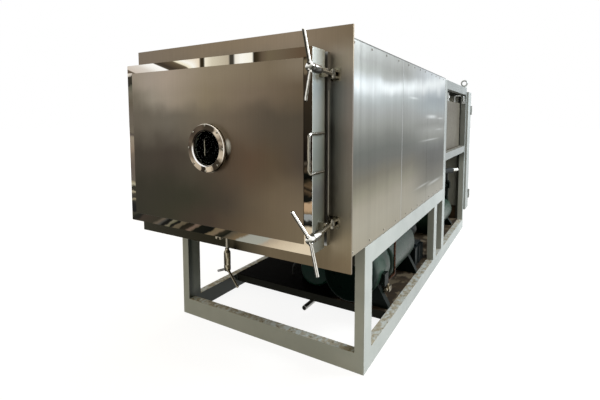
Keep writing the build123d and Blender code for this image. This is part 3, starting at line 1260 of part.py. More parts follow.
def switchgear(x0, x1):
    """Mounting plate in the cabinet with rows of devices on it."""
    front = CABINET_FRONT + CABINET_SHEET
    face = front + GEAR_PLATE_THICK
    gear = [block(x0 + GEAR_PLATE_SIDE, x1 - GEAR_PLATE_SIDE, front, face,
                  CABINET_BOTTOM + GEAR_PLATE_END, CABINET_TOP - GEAR_PLATE_END)]
    wide, deep, high = GEAR_SIZE
    for row in range(GEAR_ROWS):
        z = CABINET_BOTTOM + GEAR_FIRST[1] + GEAR_PITCH[1] * row
        for k in range(GEAR_PER_ROW):
            x = x0 + GEAR_FIRST[0] + GEAR_PITCH[0] * k
            gear.append(block(x, x + wide, face, face + deep, z, z + high))
    return gear


def cabinet_knuckle(x, axis_x, axis_y, z):
    """Hinge knuckle on the cabinet door's side."""
    radius = CABINET_KNUCKLE - LOOSE_FIT
    height = CABINET_KNUCKLE_HEIGHT
    low = z - height / 2
    piece = rod("z", axis_x, axis_y, low, radius, height)
    piece += block(x, axis_x - CABINET_HINGE_PIN, axis_y - CABINET_KNUCKLE_WEB,
                   axis_y + CABINET_KNUCKLE_WEB, low, low + height)
    return piece - rod("z", axis_x, axis_y, low, CABINET_HINGE_PIN + SWING_FIT, height)


def cabinet_lug(x, axis_x, axis_y, back, low):
    """Fixed hinge lug, bolted to the side of the cabinet."""
    radius = CABINET_KNUCKLE - LOOSE_FIT
    high = low + CABINET_LUG_HEIGHT
    outer = x + CABINET_LUG_THICK
    piece = rod("z", axis_x, axis_y, low, radius, CABINET_LUG_HEIGHT)
    piece += block(x, outer, back - CABINET_LUG_LENGTH, back, low, high)
    piece += block(x + LOOSE_FIT, outer, back, axis_y, low, high)
    return piece - rod("z", axis_x, axis_y, low, CABINET_HINGE_PIN + PIN_FIT, CABINET_LUG_HEIGHT)


def latch(x, z, door_front):
    """Quarter-turn latch: a knob outside, a spindle and a tongue that hangs down when open."""
    inside = door_front - TONGUE_INSIDE
    outside = CABINET_BACK + LATCH_GAP
    knob = outside + LATCH_BOSS_LENGTH
    piece = rod("y", x, inside, z, LATCH_RADIUS, outside - inside)
    piece += rod("y", x, outside, z, LATCH_BOSS, LATCH_BOSS_LENGTH)
    piece += block(x - LATCH_BOSS, x + LATCH_BOSS, knob, knob + LATCH_BAR_THICK,
                   z - LATCH_BAR_HALF, z + LATCH_BAR_HALF)
    return piece + block(x - TONGUE_HALF, x + TONGUE_HALF, inside, inside + TONGUE_THICK,
                         z - TONGUE_REACH, z + TONGUE_TAIL)


def pivot_pins(cabinet_pins):
    """Every fixed hinge and pivot pin of the machine."""
    pins = [place * clamp_pin() for place in (UPPER, LOWER, BOTTOM)]
    save("pivot_pins", hinge_pins() + pins + cabinet_pins)


def door_brackets():
    """Hinge brackets and clamp brackets, all welded to the mask plate."""
    brackets = [hinge_bracket(z) for z in HINGE_ZS]
    brackets += [place * clamp_bracket() for place in (UPPER, LOWER, BOTTOM)]
    save("door_brackets", brackets)


frame()
chamber()
shelves()
cladding()
door()
sight_glass()
save("door_handle", door_handle())
save("door_hinge_leaves", [hinge_leaf(z) for z in HINGE_ZS])
door_brackets()
clamps()
compressor()
second_compressor()
machine_feet()
vacuum_pump()
save("drain_pipe", drain_pipe())
rear_bay()
cold_trap()
pivot_pins(cabinet())
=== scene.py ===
import json
import logging
import math
from dataclasses import dataclass
from enum import Enum
from functools import reduce

import bmesh
import bpy
from mathutils import Euler, Matrix, Vector


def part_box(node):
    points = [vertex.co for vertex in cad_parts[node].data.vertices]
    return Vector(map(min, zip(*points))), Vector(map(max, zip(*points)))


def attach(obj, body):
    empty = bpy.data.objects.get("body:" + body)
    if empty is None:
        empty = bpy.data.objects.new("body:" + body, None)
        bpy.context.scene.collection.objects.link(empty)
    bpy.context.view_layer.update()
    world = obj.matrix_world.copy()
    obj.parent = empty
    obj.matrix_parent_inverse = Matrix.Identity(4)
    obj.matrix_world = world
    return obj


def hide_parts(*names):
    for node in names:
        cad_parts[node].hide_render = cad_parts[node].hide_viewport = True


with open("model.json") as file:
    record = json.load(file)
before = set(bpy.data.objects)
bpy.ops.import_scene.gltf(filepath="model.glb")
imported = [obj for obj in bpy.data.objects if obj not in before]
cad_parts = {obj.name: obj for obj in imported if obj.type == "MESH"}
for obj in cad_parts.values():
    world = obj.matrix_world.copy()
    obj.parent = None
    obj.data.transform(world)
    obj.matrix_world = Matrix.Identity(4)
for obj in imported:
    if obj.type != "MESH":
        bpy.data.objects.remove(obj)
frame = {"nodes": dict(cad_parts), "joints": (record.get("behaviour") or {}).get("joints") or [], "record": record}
LOG = logging.getLogger("freeze_dryer")
MM = 0.001

Socket = bpy.types.NodeSocket
Material = bpy.types.Material
Mesh = bmesh.types.BMesh
Place = tuple[float, float, float]
Stops = tuple[tuple[float, str], ...]  # position and hex colour of each stop of a ramp
Profile = tuple[tuple[float, float], ...]  # radius and height of each point in millimetres
EVEN = (1.0, 1.0, 1.0)  # a pattern that isn't drawn out
UP = Vector((0, 0, 1))
FORWARD = Vector((0, -1, 0))  # out of the door
SMOOTH_DEG = 35.0  # edges flatter than this are smooth


# ---------------------------------------------------------------- colours and nodes
def linear(colour: str) -> tuple[float, float, float, float]:
    """Turn an sRGB hex colour to linear light.

    Args:
        colour: Six hex digits, such as "c8c4ba".

    Returns:
        Red, green, blue and an alpha of 1.
    """
    parts = (int(colour[k : k + 2], 16) / 255 for k in (0, 2, 4))
    return (*(p / 12.92 if p <= 0.04045 else ((p + 0.055) / 1.055) ** 2.4 for p in parts), 1.0)


def per_metre(size_mm: float) -> float:
    """Texture scale of a pattern whose features are size_mm apart."""
    return 1000 / size_mm


def add(
    tree: bpy.types.NodeTree,
    kind: str,
    inputs: dict | None = None,
    stops: Stops = (),
    **settings: object,
) -> bpy.types.Node:
    """Add a shader node with its settings and links.

    Args:
        tree: The node tree it goes into.
        kind: The node's type without its "ShaderNode" prefix.
        inputs: A value or an output socket for each input name or number.
        stops: Position and hex colour of each stop of a colour ramp.
        settings: Properties of the node.

    Returns:
        The new node.
    """
    made = tree.nodes.new("ShaderNode" + kind)
    for name, value in settings.items():
        setattr(made, name, value)
    if stops:
        elements = made.color_ramp.elements
        while len(elements) > 1:
            elements.remove(elements[-1])
        elements[0].position, elements[0].color = stops[0][0], linear(stops[0][1])
        for position, colour in stops[1:]:
            elements.new(position).color = linear(colour)
    for key, value in (inputs or {}).items():
        if isinstance(value, Socket):
            tree.links.new(value, made.inputs[key])
        else:
            made.inputs[key].default_value = value
    return made


class Along(Enum):
    """An axis of the machine: across, front to back, or up."""

    X = 0
    Y = 1
    Z = 2

    def stretch(self, times: float) -> Place:
        """Stretch of a pattern that is drawn out along this axis."""
        return tuple(times if k == self.value else 1.0 for k in range(3))


@dataclass
class Shader:
    """A material under construction: its tree, its coordinates and its surface."""

    name: str

    def __post_init__(self) -> None:
        """Start an empty material that reads the piece's own coordinates."""
        self.material = bpy.data.materials.new(self.name)
        self.material.use_nodes = True
        self.tree = self.material.node_tree
        self.tree.nodes.clear()
        self.place = add(self.tree, "TexCoord").outputs["Object"]
        self.axes = add(self.tree, "SeparateXYZ", {0: self.place}).outputs

    def math(self, operation: str, *values: object) -> Socket:
        """Result of one arithmetic step on sockets or numbers."""
        inputs = dict(enumerate(values))
        return add(self.tree, "Math", inputs, operation=operation).outputs[0]

    def product(self, *values: object) -> Socket:
        """Values multiplied together: of shares, high only where all are."""
        return reduce(lambda one, other: self.math("MULTIPLY", one, other), values)

    def scaled(self, value: object, factor: object, offset: object) -> Socket:
        """A value times a factor, plus an offset."""
        return self.math("MULTIPLY_ADD", value, factor, offset)

    def past(self, value: object, edge: float) -> Socket:
        """One where a value is over an edge, and nothing elsewhere."""
        return self.math("GREATER_THAN", value, edge)

    def span(self, value: object, low: float, high: float, smooth: bool = False) -> Socket:
        """Share of the way from low to high, held between 0 and 1.

        Args:
            value: The value that is measured.
            low: Where the share is 0.
            high: Where the share is 1; it may be under low.
            smooth: Whether the share eases in and out.

        Returns:
            The share.
        """
        kind = "SMOOTHSTEP" if smooth else "LINEAR"
        made = add(self.tree, "MapRange", {0: value, 1: low, 2: high}, interpolation_type=kind)
        return made.outputs[0]

    def mix(self, share: object, first: object, second: object, how: str = "MIX") -> Socket:
        """Blend two colours, which are hex colours or sockets.

        Args:
            share: Share of the second colour.
            first: The colour where the share is 0.
            second: The colour where the share is 1.
            how: The blend's kind.

        Returns:
            The colour.
        """
        first, second = (linear(c) if isinstance(c, str) else c for c in (first, second))
        inputs = {0: share, 6: first, 7: second}
        return add(self.tree, "Mix", inputs, data_type="RGBA", blend_type=how).outputs[2]

    def noise(self, size_mm: float, stretch: Place = EVEN, detail: float = 3.0) -> Socket:
        """Cloudy pattern from 0 to 1.

        Args:
            size_mm: Distance between its features.
            stretch: How many times longer the features are along each axis.
            detail: Octaves of finer pattern.

        Returns:
            The pattern's value.
        """
        squeeze = tuple(1 / s for s in stretch)
        at = add(self.tree, "Mapping", {0: self.place, 3: squeeze}).outputs[0]
        inputs = {0: at, "Scale": per_metre(size_mm), "Detail": detail}
        return add(self.tree, "TexNoise", inputs).outputs[0]

    def ramp(self, value: object, low: float, high: float, stops: Stops) -> Socket:
        """Colour along a value whose stops are given between low and high.

        Args:
            value: The value that the ramp follows.
            low: Value at the start of the ramp.
            high: Value at the end of the ramp.
            stops: The value and hex colour of each stop.

        Returns:
            The colour.
        """
        share = self.span(value, low, high)
        scaled = tuple(((at - low) / (high - low), colour) for at, colour in stops)
        return add(self.tree, "ValToRGB", {0: share}, scaled).outputs[0]

    def grey(self, value: Socket) -> Socket:
        """Grey of a lightness."""
        return add(self.tree, "CombineColor", {0: value, 1: value, 2: value}).outputs[0]

    def facing(self, way: Place) -> Socket:
        """How far the surface faces a fixed direction of the machine, from -1 to 1.

        Args:
            way: The direction, about one long.

        Returns:
            The cosine of the angle to it.
        """
        normal = add(self.tree, "TexCoord").outputs["Normal"]
        dot = add(self.tree, "VectorMath", {0: normal, 1: way}, operation="DOT_PRODUCT")
        return dot.outputs["Value"]

    def bump(self, height: object, depth_mm: float) -> Socket:
        """Normal of a surface raised by a height pattern of depth_mm."""
        inputs = {"Height": height, "Distance": depth_mm * MM, "Strength": 1.0}
        return add(self.tree, "Bump", inputs).outputs[0]

    def finish(self, **inputs: object) -> Material:
        """Close the material with a principled surface.

        Args:
            inputs: Values or sockets of the surface, with spaces written as underscores.

        Returns:
            The finished material.
        """
        named = {key.replace("_", " "): value for key, value in inputs.items()}
        surface = add(self.tree, "BsdfPrincipled", named)
        add(self.tree, "OutputMaterial", {0: surface.outputs[0]})
        return self.material


# ---------------------------------------------------------------- finishes
@dataclass(frozen=True)
class InnerSide:
    """Painted shade inside the frame: a darker colour on the left side's inward faces, and
    near-black shade on the tubes between the two sides, apart from those that face the open air."""

    # painted shade on the left side's inward faces
    inward_shade: str
    deep_inward_shade: str = "454c47"  # deeper painted shade low down and on the front rail
    # near-black painted shade on the tubes between the two sides
    between_shade: str = "15160f"
    left_x: float = -0.6  # the left side's tubes lie past this
    clear_x: float = 0.679  # half the clear width between the two sides
    low: tuple[float, float] = (0.11, 0.2)  # z between which the deeper shade gives way to the inward shade
    front: tuple[float, float] = (-0.01, 0.03)  # the same along y
    lit_front: tuple[float, float] = (0.2, 0.5)  # no painted shade in front of this y, below this z
    open_y: float = 3.5  # rear faces past this are in the open air
    open_z: float = 1.8  # and so are top faces above this

    def over(self, s: Shader, paint: Socket) -> tuple[Socket, Socket]:
        """Lay the painted shade over the paint.

        Args:
            s: The material under construction.
            paint: Colour of the paint without the painted shade.

        Returns:
            The colour, and the share of the shade between the two sides.
        """
        x, y, z = s.axes
        left = s.math("LESS_THAN", x, self.left_x)
        inwards = s.past(s.facing((1, 0, 0)), 0.7)
        clear = s.product(s.span(z, *self.low, True), s.span(y, *self.front, True))
        colour = s.mix(s.product(left, inwards), paint, s.mix(clear, self.deep_inward_shade, self.inward_shade))
        between = s.math("LESS_THAN", s.math("ABSOLUTE", x), self.clear_x)
        shaded_zone = s.math("MAXIMUM", s.past(y, self.lit_front[0]), s.past(z, self.lit_front[1]))
        rear = s.product(s.past(y, self.open_y), s.past(s.facing((0, 1, 0)), 0.5))
        roof = s.product(s.past(z, self.open_z), s.past(s.facing((0, 0, 1)), 0.5))
        sheltered = s.math("SUBTRACT", 1.0, s.math("MAXIMUM", rear, roof))
        between_shade = s.product(between, shaded_zone, sheltered)
        return s.mix(s.product(between_shade, 0.94), colour, self.between_shade), between_shade


@dataclass(frozen=True)
class Enamel:
    """Sprayed enamel or powder coat on steel: an even colour that is slightly clouded,
    a fine orange-peel skin, and dust where it lies flat. It can carry painted shade on the
    side away from the aisle and at the front, a painted highlight, and painted shade to the rear."""

    name: str
    colour: str
    cloud: str
    roughness: float = 0.4
    cloud_mm: float = 260.0
    peel_mm: float = 5.0  # real orange peel is about 2 mm apart; drawn coarser so that it shows
    dust: str = ""
    dust_mm: float = 70.0
    dust_share: float = 0.5
    dirt: str = ""  # trodden spots in the dust
    shine: float = 0.5
    painted_shade: str = ""  # painted shade on the side away from the aisle and at the front
    shade_edges: Place = (0.3, 0.46, -1.0)  # the painted shade ends past this x, y and z in metres
    inner: InnerSide | None = None
    rear_shade: Stops = ()  # painted shade: greys by y in metres that the colour is multiplied by
    fade_end: float = 4.0  # the last y of the painted rear shade
    high: str = "ffffff"  # painted shade: grey that the rear bay is multiplied by above its middle rail
    rear_y: tuple[float, float] = (2.1, 2.3)  # where the rear bay begins
    middle_z: tuple[float, float] = (0.9, 1.0)  # height of its middle rail
    painted_glint: str = ""  # painted highlight: a line along the shoulder of a gloss-painted cylinder
    glint_y: tuple[float, float] = (0.6, 1.2)  # where it begins, and where it is at its full

    def film(self, s: Shader, clouds: Socket) -> Socket:
        """Share of the painted shade, with an edge that wanders.

        Args:
            s: The material under construction.
            clouds: The pattern that the edge wanders by.

        Returns:
            The share.
        """
        wander = s.scaled(clouds, 0.16, -0.08)
        share: object = 0.0
        for axis, edge in zip(s.axes, self.shade_edges):
            reach = s.span(s.math("ADD", axis, wander), edge + 0.07, edge - 0.07, True)
            share = s.math("MAXIMUM", share, reach)
        return share

    def lying(self, s: Shader, film: object) -> Socket:
        """Share of dust, in patches on flat tops.

        Args:
            s: The material under construction.
            film: Share of the painted shade, where no dust is drawn.

        Returns:
            The share.
        """
        flat = s.past(s.facing((0, 0, 1)), 0.8)
        patches = s.noise(self.dust_mm, (1, 1.6, 1), 5)
        patches = s.span(patches, 0.62 - self.dust_share * 0.3, 0.6, True)
        return s.product(flat, patches, s.math("SUBTRACT", 1.0, film))

    def painted_highlight(self, s: Shader) -> Socket:
        """Share of the painted highlight: a broken line along a cylinder's upper shoulder.

        Args:
            s: The material under construction.

        Returns:
            The share.
        """
        shoulder = s.span(s.facing((0.86, 0.0, 0.5)), 0.994, 0.9985, True)
        broken = s.span(s.noise(90, (1, 3, 1)), 0.36, 0.5, True)
        return s.product(shoulder, broken, s.span(s.axes[1], *self.glint_y))

    def shaded_to_rear(self, s: Shader, colour: Socket) -> Socket:
        """Darken the colour to the rear with painted shade, and again high up in the rear bay.

        Args:
            s: The material under construction.
            colour: The colour before.

        Returns:
            The colour after.
        """
        greys = s.ramp(s.axes[1], 0.0, self.fade_end, self.rear_shade)
        colour = s.mix(1.0, colour, greys, "MULTIPLY")
        rear = s.product(s.span(s.axes[1], *self.rear_y), s.span(s.axes[2], *self.middle_z))
        return s.mix(rear, colour, s.mix(1.0, colour, self.high, "MULTIPLY"))

    def build(self) -> Material:
        """Make the material.

        Returns:
            The finished material.
        """
        s = Shader(self.name)
        clouds = s.noise(self.cloud_mm)
        colour = s.mix(s.span(clouds, 0.35, 0.65, True), self.colour, self.cloud)
        shine: object = self.shine
        film: object = 0.0
        # painted shade at the front and away from the aisle, with less shine in it
        if self.painted_shade:
            film = self.film(s, clouds)
            colour = s.mix(film, colour, self.painted_shade)
            shine = s.scaled(film, -0.95 * self.shine, self.shine)
        # painted shade inside the frame, with less shine in it
        if self.inner:
            colour, between_shade = self.inner.over(s, colour)
            shine = s.scaled(between_shade, -0.9 * self.shine, self.shine)
        rough = s.scaled(s.noise(34, detail=6), 0.22, self.roughness - 0.11)
        if self.dust:
            lying = self.lying(s, film)
            colour = s.mix(lying, colour, self.dust)
            rough = s.scaled(lying, 0.3, rough)
            if self.dirt:
                trodden = s.span(s.noise(self.dust_mm * 0.9, detail=4), 0.52, 0.62, True)
                colour = s.mix(s.product(lying, trodden), colour, self.dirt)
        # painted highlight along a cylinder's shoulder
        if self.painted_glint:
            colour = s.mix(self.painted_highlight(s), colour, self.painted_glint)
        # painted shade towards the rear and high in the rear bay
        if self.rear_shade:
            colour = self.shaded_to_rear(s, colour)
        return s.finish(
            Base_Color=colour,
            Roughness=rough,
            Normal=s.bump(s.noise(self.peel_mm, detail=2), 0.05),
            Specular_IOR_Level=shine,
        )


@dataclass(frozen=True)
class BrushedSteel:
    """Stainless sheet ground in one direction: fine parallel scratches that catch the
    light, a few deeper ones, and faint handling marks."""

    name: str
    colour: str
    shade: str
    grain: Along = Along.Z
    roughness: float = 0.3
    grain_mm: float = 4.0  # real lines are under 0.5 mm apart; drawn coarser so that they show
    grain_depth_mm: float = 0.02
    cloud_mm: float = 300.0

    def build(self) -> Material:
        """Make the material.

        Returns:
            The finished material.
        """
        s = Shader(self.name)
        lines = s.noise(self.grain_mm, self.grain.stretch(120.0), 4)
        clouds = s.noise(self.cloud_mm)
        tone = s.scaled(clouds, 0.6, s.product(lines, 0.4))
        colour = s.mix(s.span(tone, 0.35, 0.65, True), self.colour, self.shade)
        rough = s.scaled(lines, 0.25, self.roughness - 0.12)
        return s.finish(
            Base_Color=colour,
            Metallic=1.0,
            Roughness=rough,
            Normal=s.bump(lines, self.grain_depth_mm),
        )


@dataclass(frozen=True)
class TonedSteel:
    """Stainless sheet with a uniform satin finish, carrying painted reflections and shade:
    lighter in some places, browner and darker in others, and drifting a little at random."""

    name: str
    reflection_rows: tuple[tuple[float, Stops], ...]  # painted reflections and shade: height in metres, then colours across the sheet
    roughness: float = 0.36
    grain_mm: float = 5.0  # real lines are under 0.5 mm apart; drawn coarser so that they show
    grain_share: float = 0.12
    half: float = 0.8  # half the width in metres that the colours go across
    painted_light_spot: tuple[float, float, float, float] = (0.0, 0.0, 0.01, 0.01)  # painted light patch: its x, z and two reaches
    painted_light_colour: str = ""  # colour of the painted light patch, where there is one

    def painted_light_share(self, s: Shader) -> Socket:
        """Share of the painted light patch, which fades from its middle.

        Args:
            s: The material under construction.

        Returns:
            The share.
        """
        at, up, wide, tall = self.painted_light_spot
        away = s.math("DIVIDE", s.math("SUBTRACT", s.axes[0], at), wide)
        above = s.math("DIVIDE", s.math("SUBTRACT", s.axes[2], up), tall)
        out = s.math("ADD", s.math("POWER", away, 2), s.math("POWER", above, 2))
        return s.product(s.span(out, 1.0, 0.0, True), 0.7)

    def tone(self, s: Shader) -> Socket:
        """Colour of the sheet at a place, with its painted reflections and shade, blended from row to row.

        Args:
            s: The material under construction.

        Returns:
            The colour.
        """
        drift = s.scaled(s.noise(180, detail=2), 0.12, -0.06)
        height = s.math("ADD", s.axes[2], drift)
        side = s.math("ADD", s.axes[0], drift)
        # painted reflections and shade, blended from row to row
        colour = s.ramp(side, -self.half, self.half, self.reflection_rows[0][1])
        for (low, _), (high, stops) in zip(self.reflection_rows, self.reflection_rows[1:]):
            share = s.span(height, low, high, True)
            colour = s.mix(share, colour, s.ramp(side, -self.half, self.half, stops))
        # painted light patch by the glass
        if self.painted_light_colour:
            colour = s.mix(self.painted_light_share(s), colour, self.painted_light_colour)
        return colour

    def build(self) -> Material:
        """Make the material.

        Returns:
            The finished material.
        """
        s = Shader(self.name)
        lines = s.noise(self.grain_mm, Along.Z.stretch(90.0), 5)
        grey = s.grey(s.scaled(lines, 2 * self.grain_share, 1 - self.grain_share))
        return s.finish(
            Base_Color=s.mix(1.0, self.tone(s), grey, "MULTIPLY"),
            Metallic=1.0,
            Roughness=s.scaled(s.noise(60, (1, 1, 2), 5), 0.16, self.roughness - 0.08),
            Normal=s.bump(lines, 0.012),
        )


@dataclass(frozen=True)
class PolishedSteel:
    """Stainless steel buffed to a bright gloss. Buffed bars and rings carry painted
    reflections, bright and dark bands along them, broken up by the buffing waves."""

    name: str
    reflection_streaks: Stops  # painted reflections: colour by how far the surface faces the way below
    way: Place = (0.5, 0.3, 0.81)
    roughness: float = 0.14
    wave_mm: float = 16.0
    wave_share: float = 0.5
    wave_depth_mm: float = 0.1

    def build(self) -> Material:
        """Make the material.

        Returns:
            The finished material.
        """
        s = Shader(self.name)
        waves = s.noise(self.wave_mm, (1, 1, 2), 3)
        sway = s.scaled(waves, self.wave_share, -self.wave_share / 2)
        # painted reflections, by which way the surface faces
        colour = s.ramp(s.math("ADD", s.facing(self.way), sway), -1.0, 1.0, self.reflection_streaks)
        marks = s.noise(12, detail=6)
        return s.finish(
            Base_Color=colour,
            Metallic=1.0,
            Roughness=s.scaled(marks, 0.14, self.roughness - 0.05),
            Normal=s.bump(waves, self.wave_depth_mm),
        )


@dataclass(frozen=True)
class RingSteel:
    """Turned and buffed stainless ring: painted reflections, brown and light patches, go round its
    flat face, and painted highlights light its rounded edges where they face up and to the aisle."""

    name: str
    centre: Place
    bore: float  # radius in metres inside which the bevel of the bore lies
    patches: Stops  # painted reflections: colour by angle, in turns from the right hand, counted upwards
    edges: Stops  # painted highlights: colour of the outer edge by how far it faces up and to the aisle
    lip: Stops  # painted highlights: colour of the bevel by how far it faces up
    roughness: float = 0.16

    def build(self) -> Material:
        """Make the material.

        Returns:
            The finished material.
        """
        s = Shader(self.name)
        across = s.math("SUBTRACT", s.axes[0], self.centre[0])
        up = s.math("SUBTRACT", s.axes[2], self.centre[2])
        turn = s.math("DIVIDE", s.math("ARCTAN2", up, across), 2 * math.pi)
        sway = s.scaled(s.noise(30, detail=3), 0.1, -0.05)
        # painted reflections on the face, painted highlights on the edges
        face = s.ramp(s.math("ADD", turn, sway), -0.5, 0.5, self.patches)
        tilt = s.math("ADD", s.facing((0.62, 0.0, 0.62)), sway)
        edge = s.ramp(tilt, -1.0, 1.0, self.edges)
        lip = s.ramp(s.math("ADD", s.facing((0.3, 0.0, 0.95)), sway), -1.0, 1.0, self.lip)
        out = s.math("SQRT", s.math("ADD", s.math("POWER", across, 2), s.math("POWER", up, 2)))
        edge = s.mix(s.math("LESS_THAN", out, self.bore), edge, lip)
        flat = s.span(s.facing((0, -1, 0)), 0.9, 0.99, True)
        marks = s.noise(10, detail=6)
        return s.finish(
            Base_Color=s.mix(flat, edge, face),
            Metallic=1.0,
            Roughness=s.scaled(marks, 0.14, self.roughness - 0.06),
            Normal=s.bump(marks, 0.02),
        )


@dataclass(frozen=True)
class Glint:
    """A small painted reflection on a ground sheet: a bright lens."""

    y: float
    z: float
    long: float  # half its length in metres
    high: float  # half its height
    share: float


@dataclass(frozen=True)
class CladdingSteel:
    """Large stainless sheet, ground from top to bottom, with painted reflections: brown and pale
    at the foot, dark at half height and pale above, and one bright painted gleam that climbs to the rear."""

    name: str
    near: Stops  # painted reflections: colour by height in metres at the front
    far: Stops  # the same at the rear
    # painted highlight: the gleam
    gleam: str
    halo: str  # softer painted light round the gleam
    glints: tuple[Glint, ...]
    seam_y: float  # front edge of the second sheet
    rim_colour: str = "2e2e2a"  # painted shade on the top edge, which is folded away
    rim_z: float = 1.9015
    heights: tuple[float, float] = (0.7, 1.92)  # lowest and highest z of the colours
    turn_y: tuple[float, float] = (0.7, 1.6)  # where the colours go over from near to far
    path: Place = (1.676, 0.046, 0.021)  # the gleam's height, its slope and its curve along y
    roughness: float = 0.34
    grain_mm: float = 6.0  # real lines are under 0.5 mm apart; drawn coarser so that they show

    def bell(self, s: Shader, value: object, middle: object, reach: object) -> Socket:
        """Share that is one at the middle and fades smoothly to nothing at the reach.

        Args:
            s: The material under construction.
            value: The value that is measured.
            middle: Where the share is 1.
            reach: How far from there it is 0.

        Returns:
            The share.
        """
        away = s.math("ABSOLUTE", s.math("SUBTRACT", value, middle))
        return s.span(s.math("DIVIDE", away, reach), 1.0, 0.0, True)

    def lit(self, s: Shader, colour: Socket, height: Socket) -> Socket:
        """Lay the painted gleam, its halo and the painted glints over the sheet's colour.

        Args:
            s: The material under construction.
            colour: Colour of the sheet.
            height: Height in metres, a little clouded.

        Returns:
            The colour.
        """
        y, z = s.axes[1], s.axes[2]
        base, slope, curve = self.path
        middle = s.scaled(y, s.scaled(y, curve, slope), base)
        reach = s.scaled(s.math("MAXIMUM", y, 0.3), 0.035, 0.075)
        soft = self.bell(s, height, middle, s.product(reach, 1.25))
        colour = s.mix(s.product(soft, 0.6), colour, self.halo)
        core = self.bell(s, height, middle, s.product(reach, 0.7))
        rise = s.scaled(s.span(y, 0.1, 0.35, True), 0.5, 0.5)
        colour = s.mix(s.product(core, rise), colour, self.gleam)
        # painted reflections: the small bright lenses
        for painted_glint in self.glints:
            along = self.bell(s, y, painted_glint.y, painted_glint.long)
            above = self.bell(s, z, painted_glint.z, painted_glint.high)
            colour = s.mix(s.product(along, above, painted_glint.share), colour, self.gleam)
        return colour

    def build(self) -> Material:
        """Make the material.

        Returns:
            The finished material.
        """
        s = Shader(self.name)
        y, z = s.axes[1], s.axes[2]
        fine = s.noise(self.grain_mm, Along.Z.stretch(90.0), 4)
        broad = s.noise(38, Along.Z.stretch(60.0))
        height = s.scaled(s.noise(300, detail=2), 0.08, s.math("SUBTRACT", z, 0.04))
        # painted reflections by height
        near, far = (s.ramp(height, *self.heights, stops) for stops in (self.near, self.far))
        colour = self.lit(s, s.mix(s.span(y, *self.turn_y, True), near, far), height)
        seam_highlight = s.math("COMPARE", y, self.seam_y - 0.007, 0.004)  # painted highlight on the edge before the seam
        colour = s.mix(s.product(seam_highlight, 0.55), colour, self.gleam)
        # painted shade on the folded top edge
        colour = s.mix(s.product(s.past(z, self.rim_z), 0.75), colour, self.rim_colour)
        grey = s.grey(s.scaled(fine, 0.2, s.scaled(broad, 0.2, 0.66)))
        return s.finish(
            Base_Color=s.mix(1.0, colour, grey, "MULTIPLY"),
            Metallic=1.0,
            Specular_Tint=(0.6, 0.6, 0.6, 1.0),
            Roughness=s.scaled(broad, 0.1, self.roughness - 0.05),
            Normal=s.bump(fine, 0.008),
        )


@dataclass(frozen=True)
class DoorPanSteel:
    """Polished stainless pan. Its front rim is buffed to a mirror and carries painted
    reflections, the light and dark patches of a workshop; its sides are only satin, with
    painted reflections and shade, bluish and duller below."""

    name: str
    top: Stops  # painted reflections along the rim's four strips, by x or z in metres
    bottom: Stops
    left: Stops
    right: Stops
    sides: Stops  # painted reflections and shade on the sides, by z
    low: Place  # corners of the pan
    high: Place
    rim: float  # width of the buffed rim
    edge_highlight: str = "e4e6e0"  # painted highlight on the rounded edge between the rim and the sides
    edge_depth: float = 0.005
    top_slant: tuple[float, float] = (1.80, 2.8)  # z where a patch keeps its x, and its slant
    top_slant_x: tuple[float, float] = (-0.05, -0.15)  # the patches slant past this x
    bottom_slant: tuple[float, float] = (0.88, -1.8)

    def rim_colour(self, s: Shader, sway: Socket) -> Socket:
        """Painted reflections on the buffed rim: two strips across and two upright ones between them.

        Args:
            s: The material under construction.
            sway: A small shift that makes the patches uneven.

        Returns:
            The colour.
        """
        x, _, z = s.axes
        half, foot, head = self.high[0], self.low[2], self.high[2]
        middle = (foot + head) / 2
        lean = s.product(s.span(x, *self.top_slant_x), self.top_slant[1])
        above = s.product(s.math("SUBTRACT", z, self.top_slant[0]), lean)
        below = s.product(s.math("SUBTRACT", z, self.bottom_slant[0]), self.bottom_slant[1])
        top = s.ramp(s.math("ADD", x, above), -half, half, self.top)
        bottom = s.math("ADD", s.math("ADD", x, below), sway)
        ends = s.mix(s.past(z, middle), s.ramp(bottom, -half, half, self.bottom), top)
        height = s.math("ADD", z, sway)
        left, right = (s.ramp(height, foot, head, stops) for stops in (self.left, self.right))
        out = s.past(s.math("ABSOLUTE", x), half - self.rim)
        inside = s.math("COMPARE", z, middle, middle - foot - self.rim)
        return s.mix(s.product(out, inside), ends, s.mix(s.past(x, 0.0), left, right))

    def build(self) -> Material:
        """Make the material.

        Returns:
            The finished material.
        """
        s = Shader(self.name)
        _, y, z = s.axes
        wander = s.noise(45, detail=2)
        # painted reflections on the rim
        rim = self.rim_colour(s, s.scaled(wander, 0.05, -0.025))
        front = s.math("LESS_THAN", y, self.low[1] + 0.0006)
        blotch = s.scaled(s.noise(60, (1, 1, 2), 4), 0.1, z)
        # painted reflections and shade on the sides
        side = s.ramp(blotch, self.low[2], self.high[2], self.sides)
        edge = s.math("LESS_THAN", y, self.low[1] + self.edge_depth)
        # painted highlight along the rounded edge
        side = s.mix(edge, side, self.edge_highlight)
        return s.finish(
            Base_Color=s.mix(front, side, rim),
            Metallic=s.scaled(front, 0.75, 0.25),
            Roughness=s.scaled(front, -0.24, s.scaled(s.noise(14, detail=5), 0.12, 0.27)),
            Normal=s.bump(wander, 0.04),
        )


@dataclass(frozen=True)
class CastBrass:
    """Forged brass or drawn copper that has darkened: a brown film, with brighter metal
    where it is touched."""

    name: str
    colour: str
    film: str
    roughness: float = 0.38

    def build(self) -> Material:
        """Make the material.

        Returns:
            The finished material.
        """
        s = Shader(self.name)
        film = s.span(s.noise(18, detail=5), 0.42, 0.62, True)
        rough = s.scaled(film, 0.25, self.roughness - 0.1)
        return s.finish(
            Base_Color=s.mix(film, self.colour, self.film),
            Metallic=1.0,
            Roughness=rough,
            Normal=s.bump(s.noise(4, detail=3), 0.05),
        )


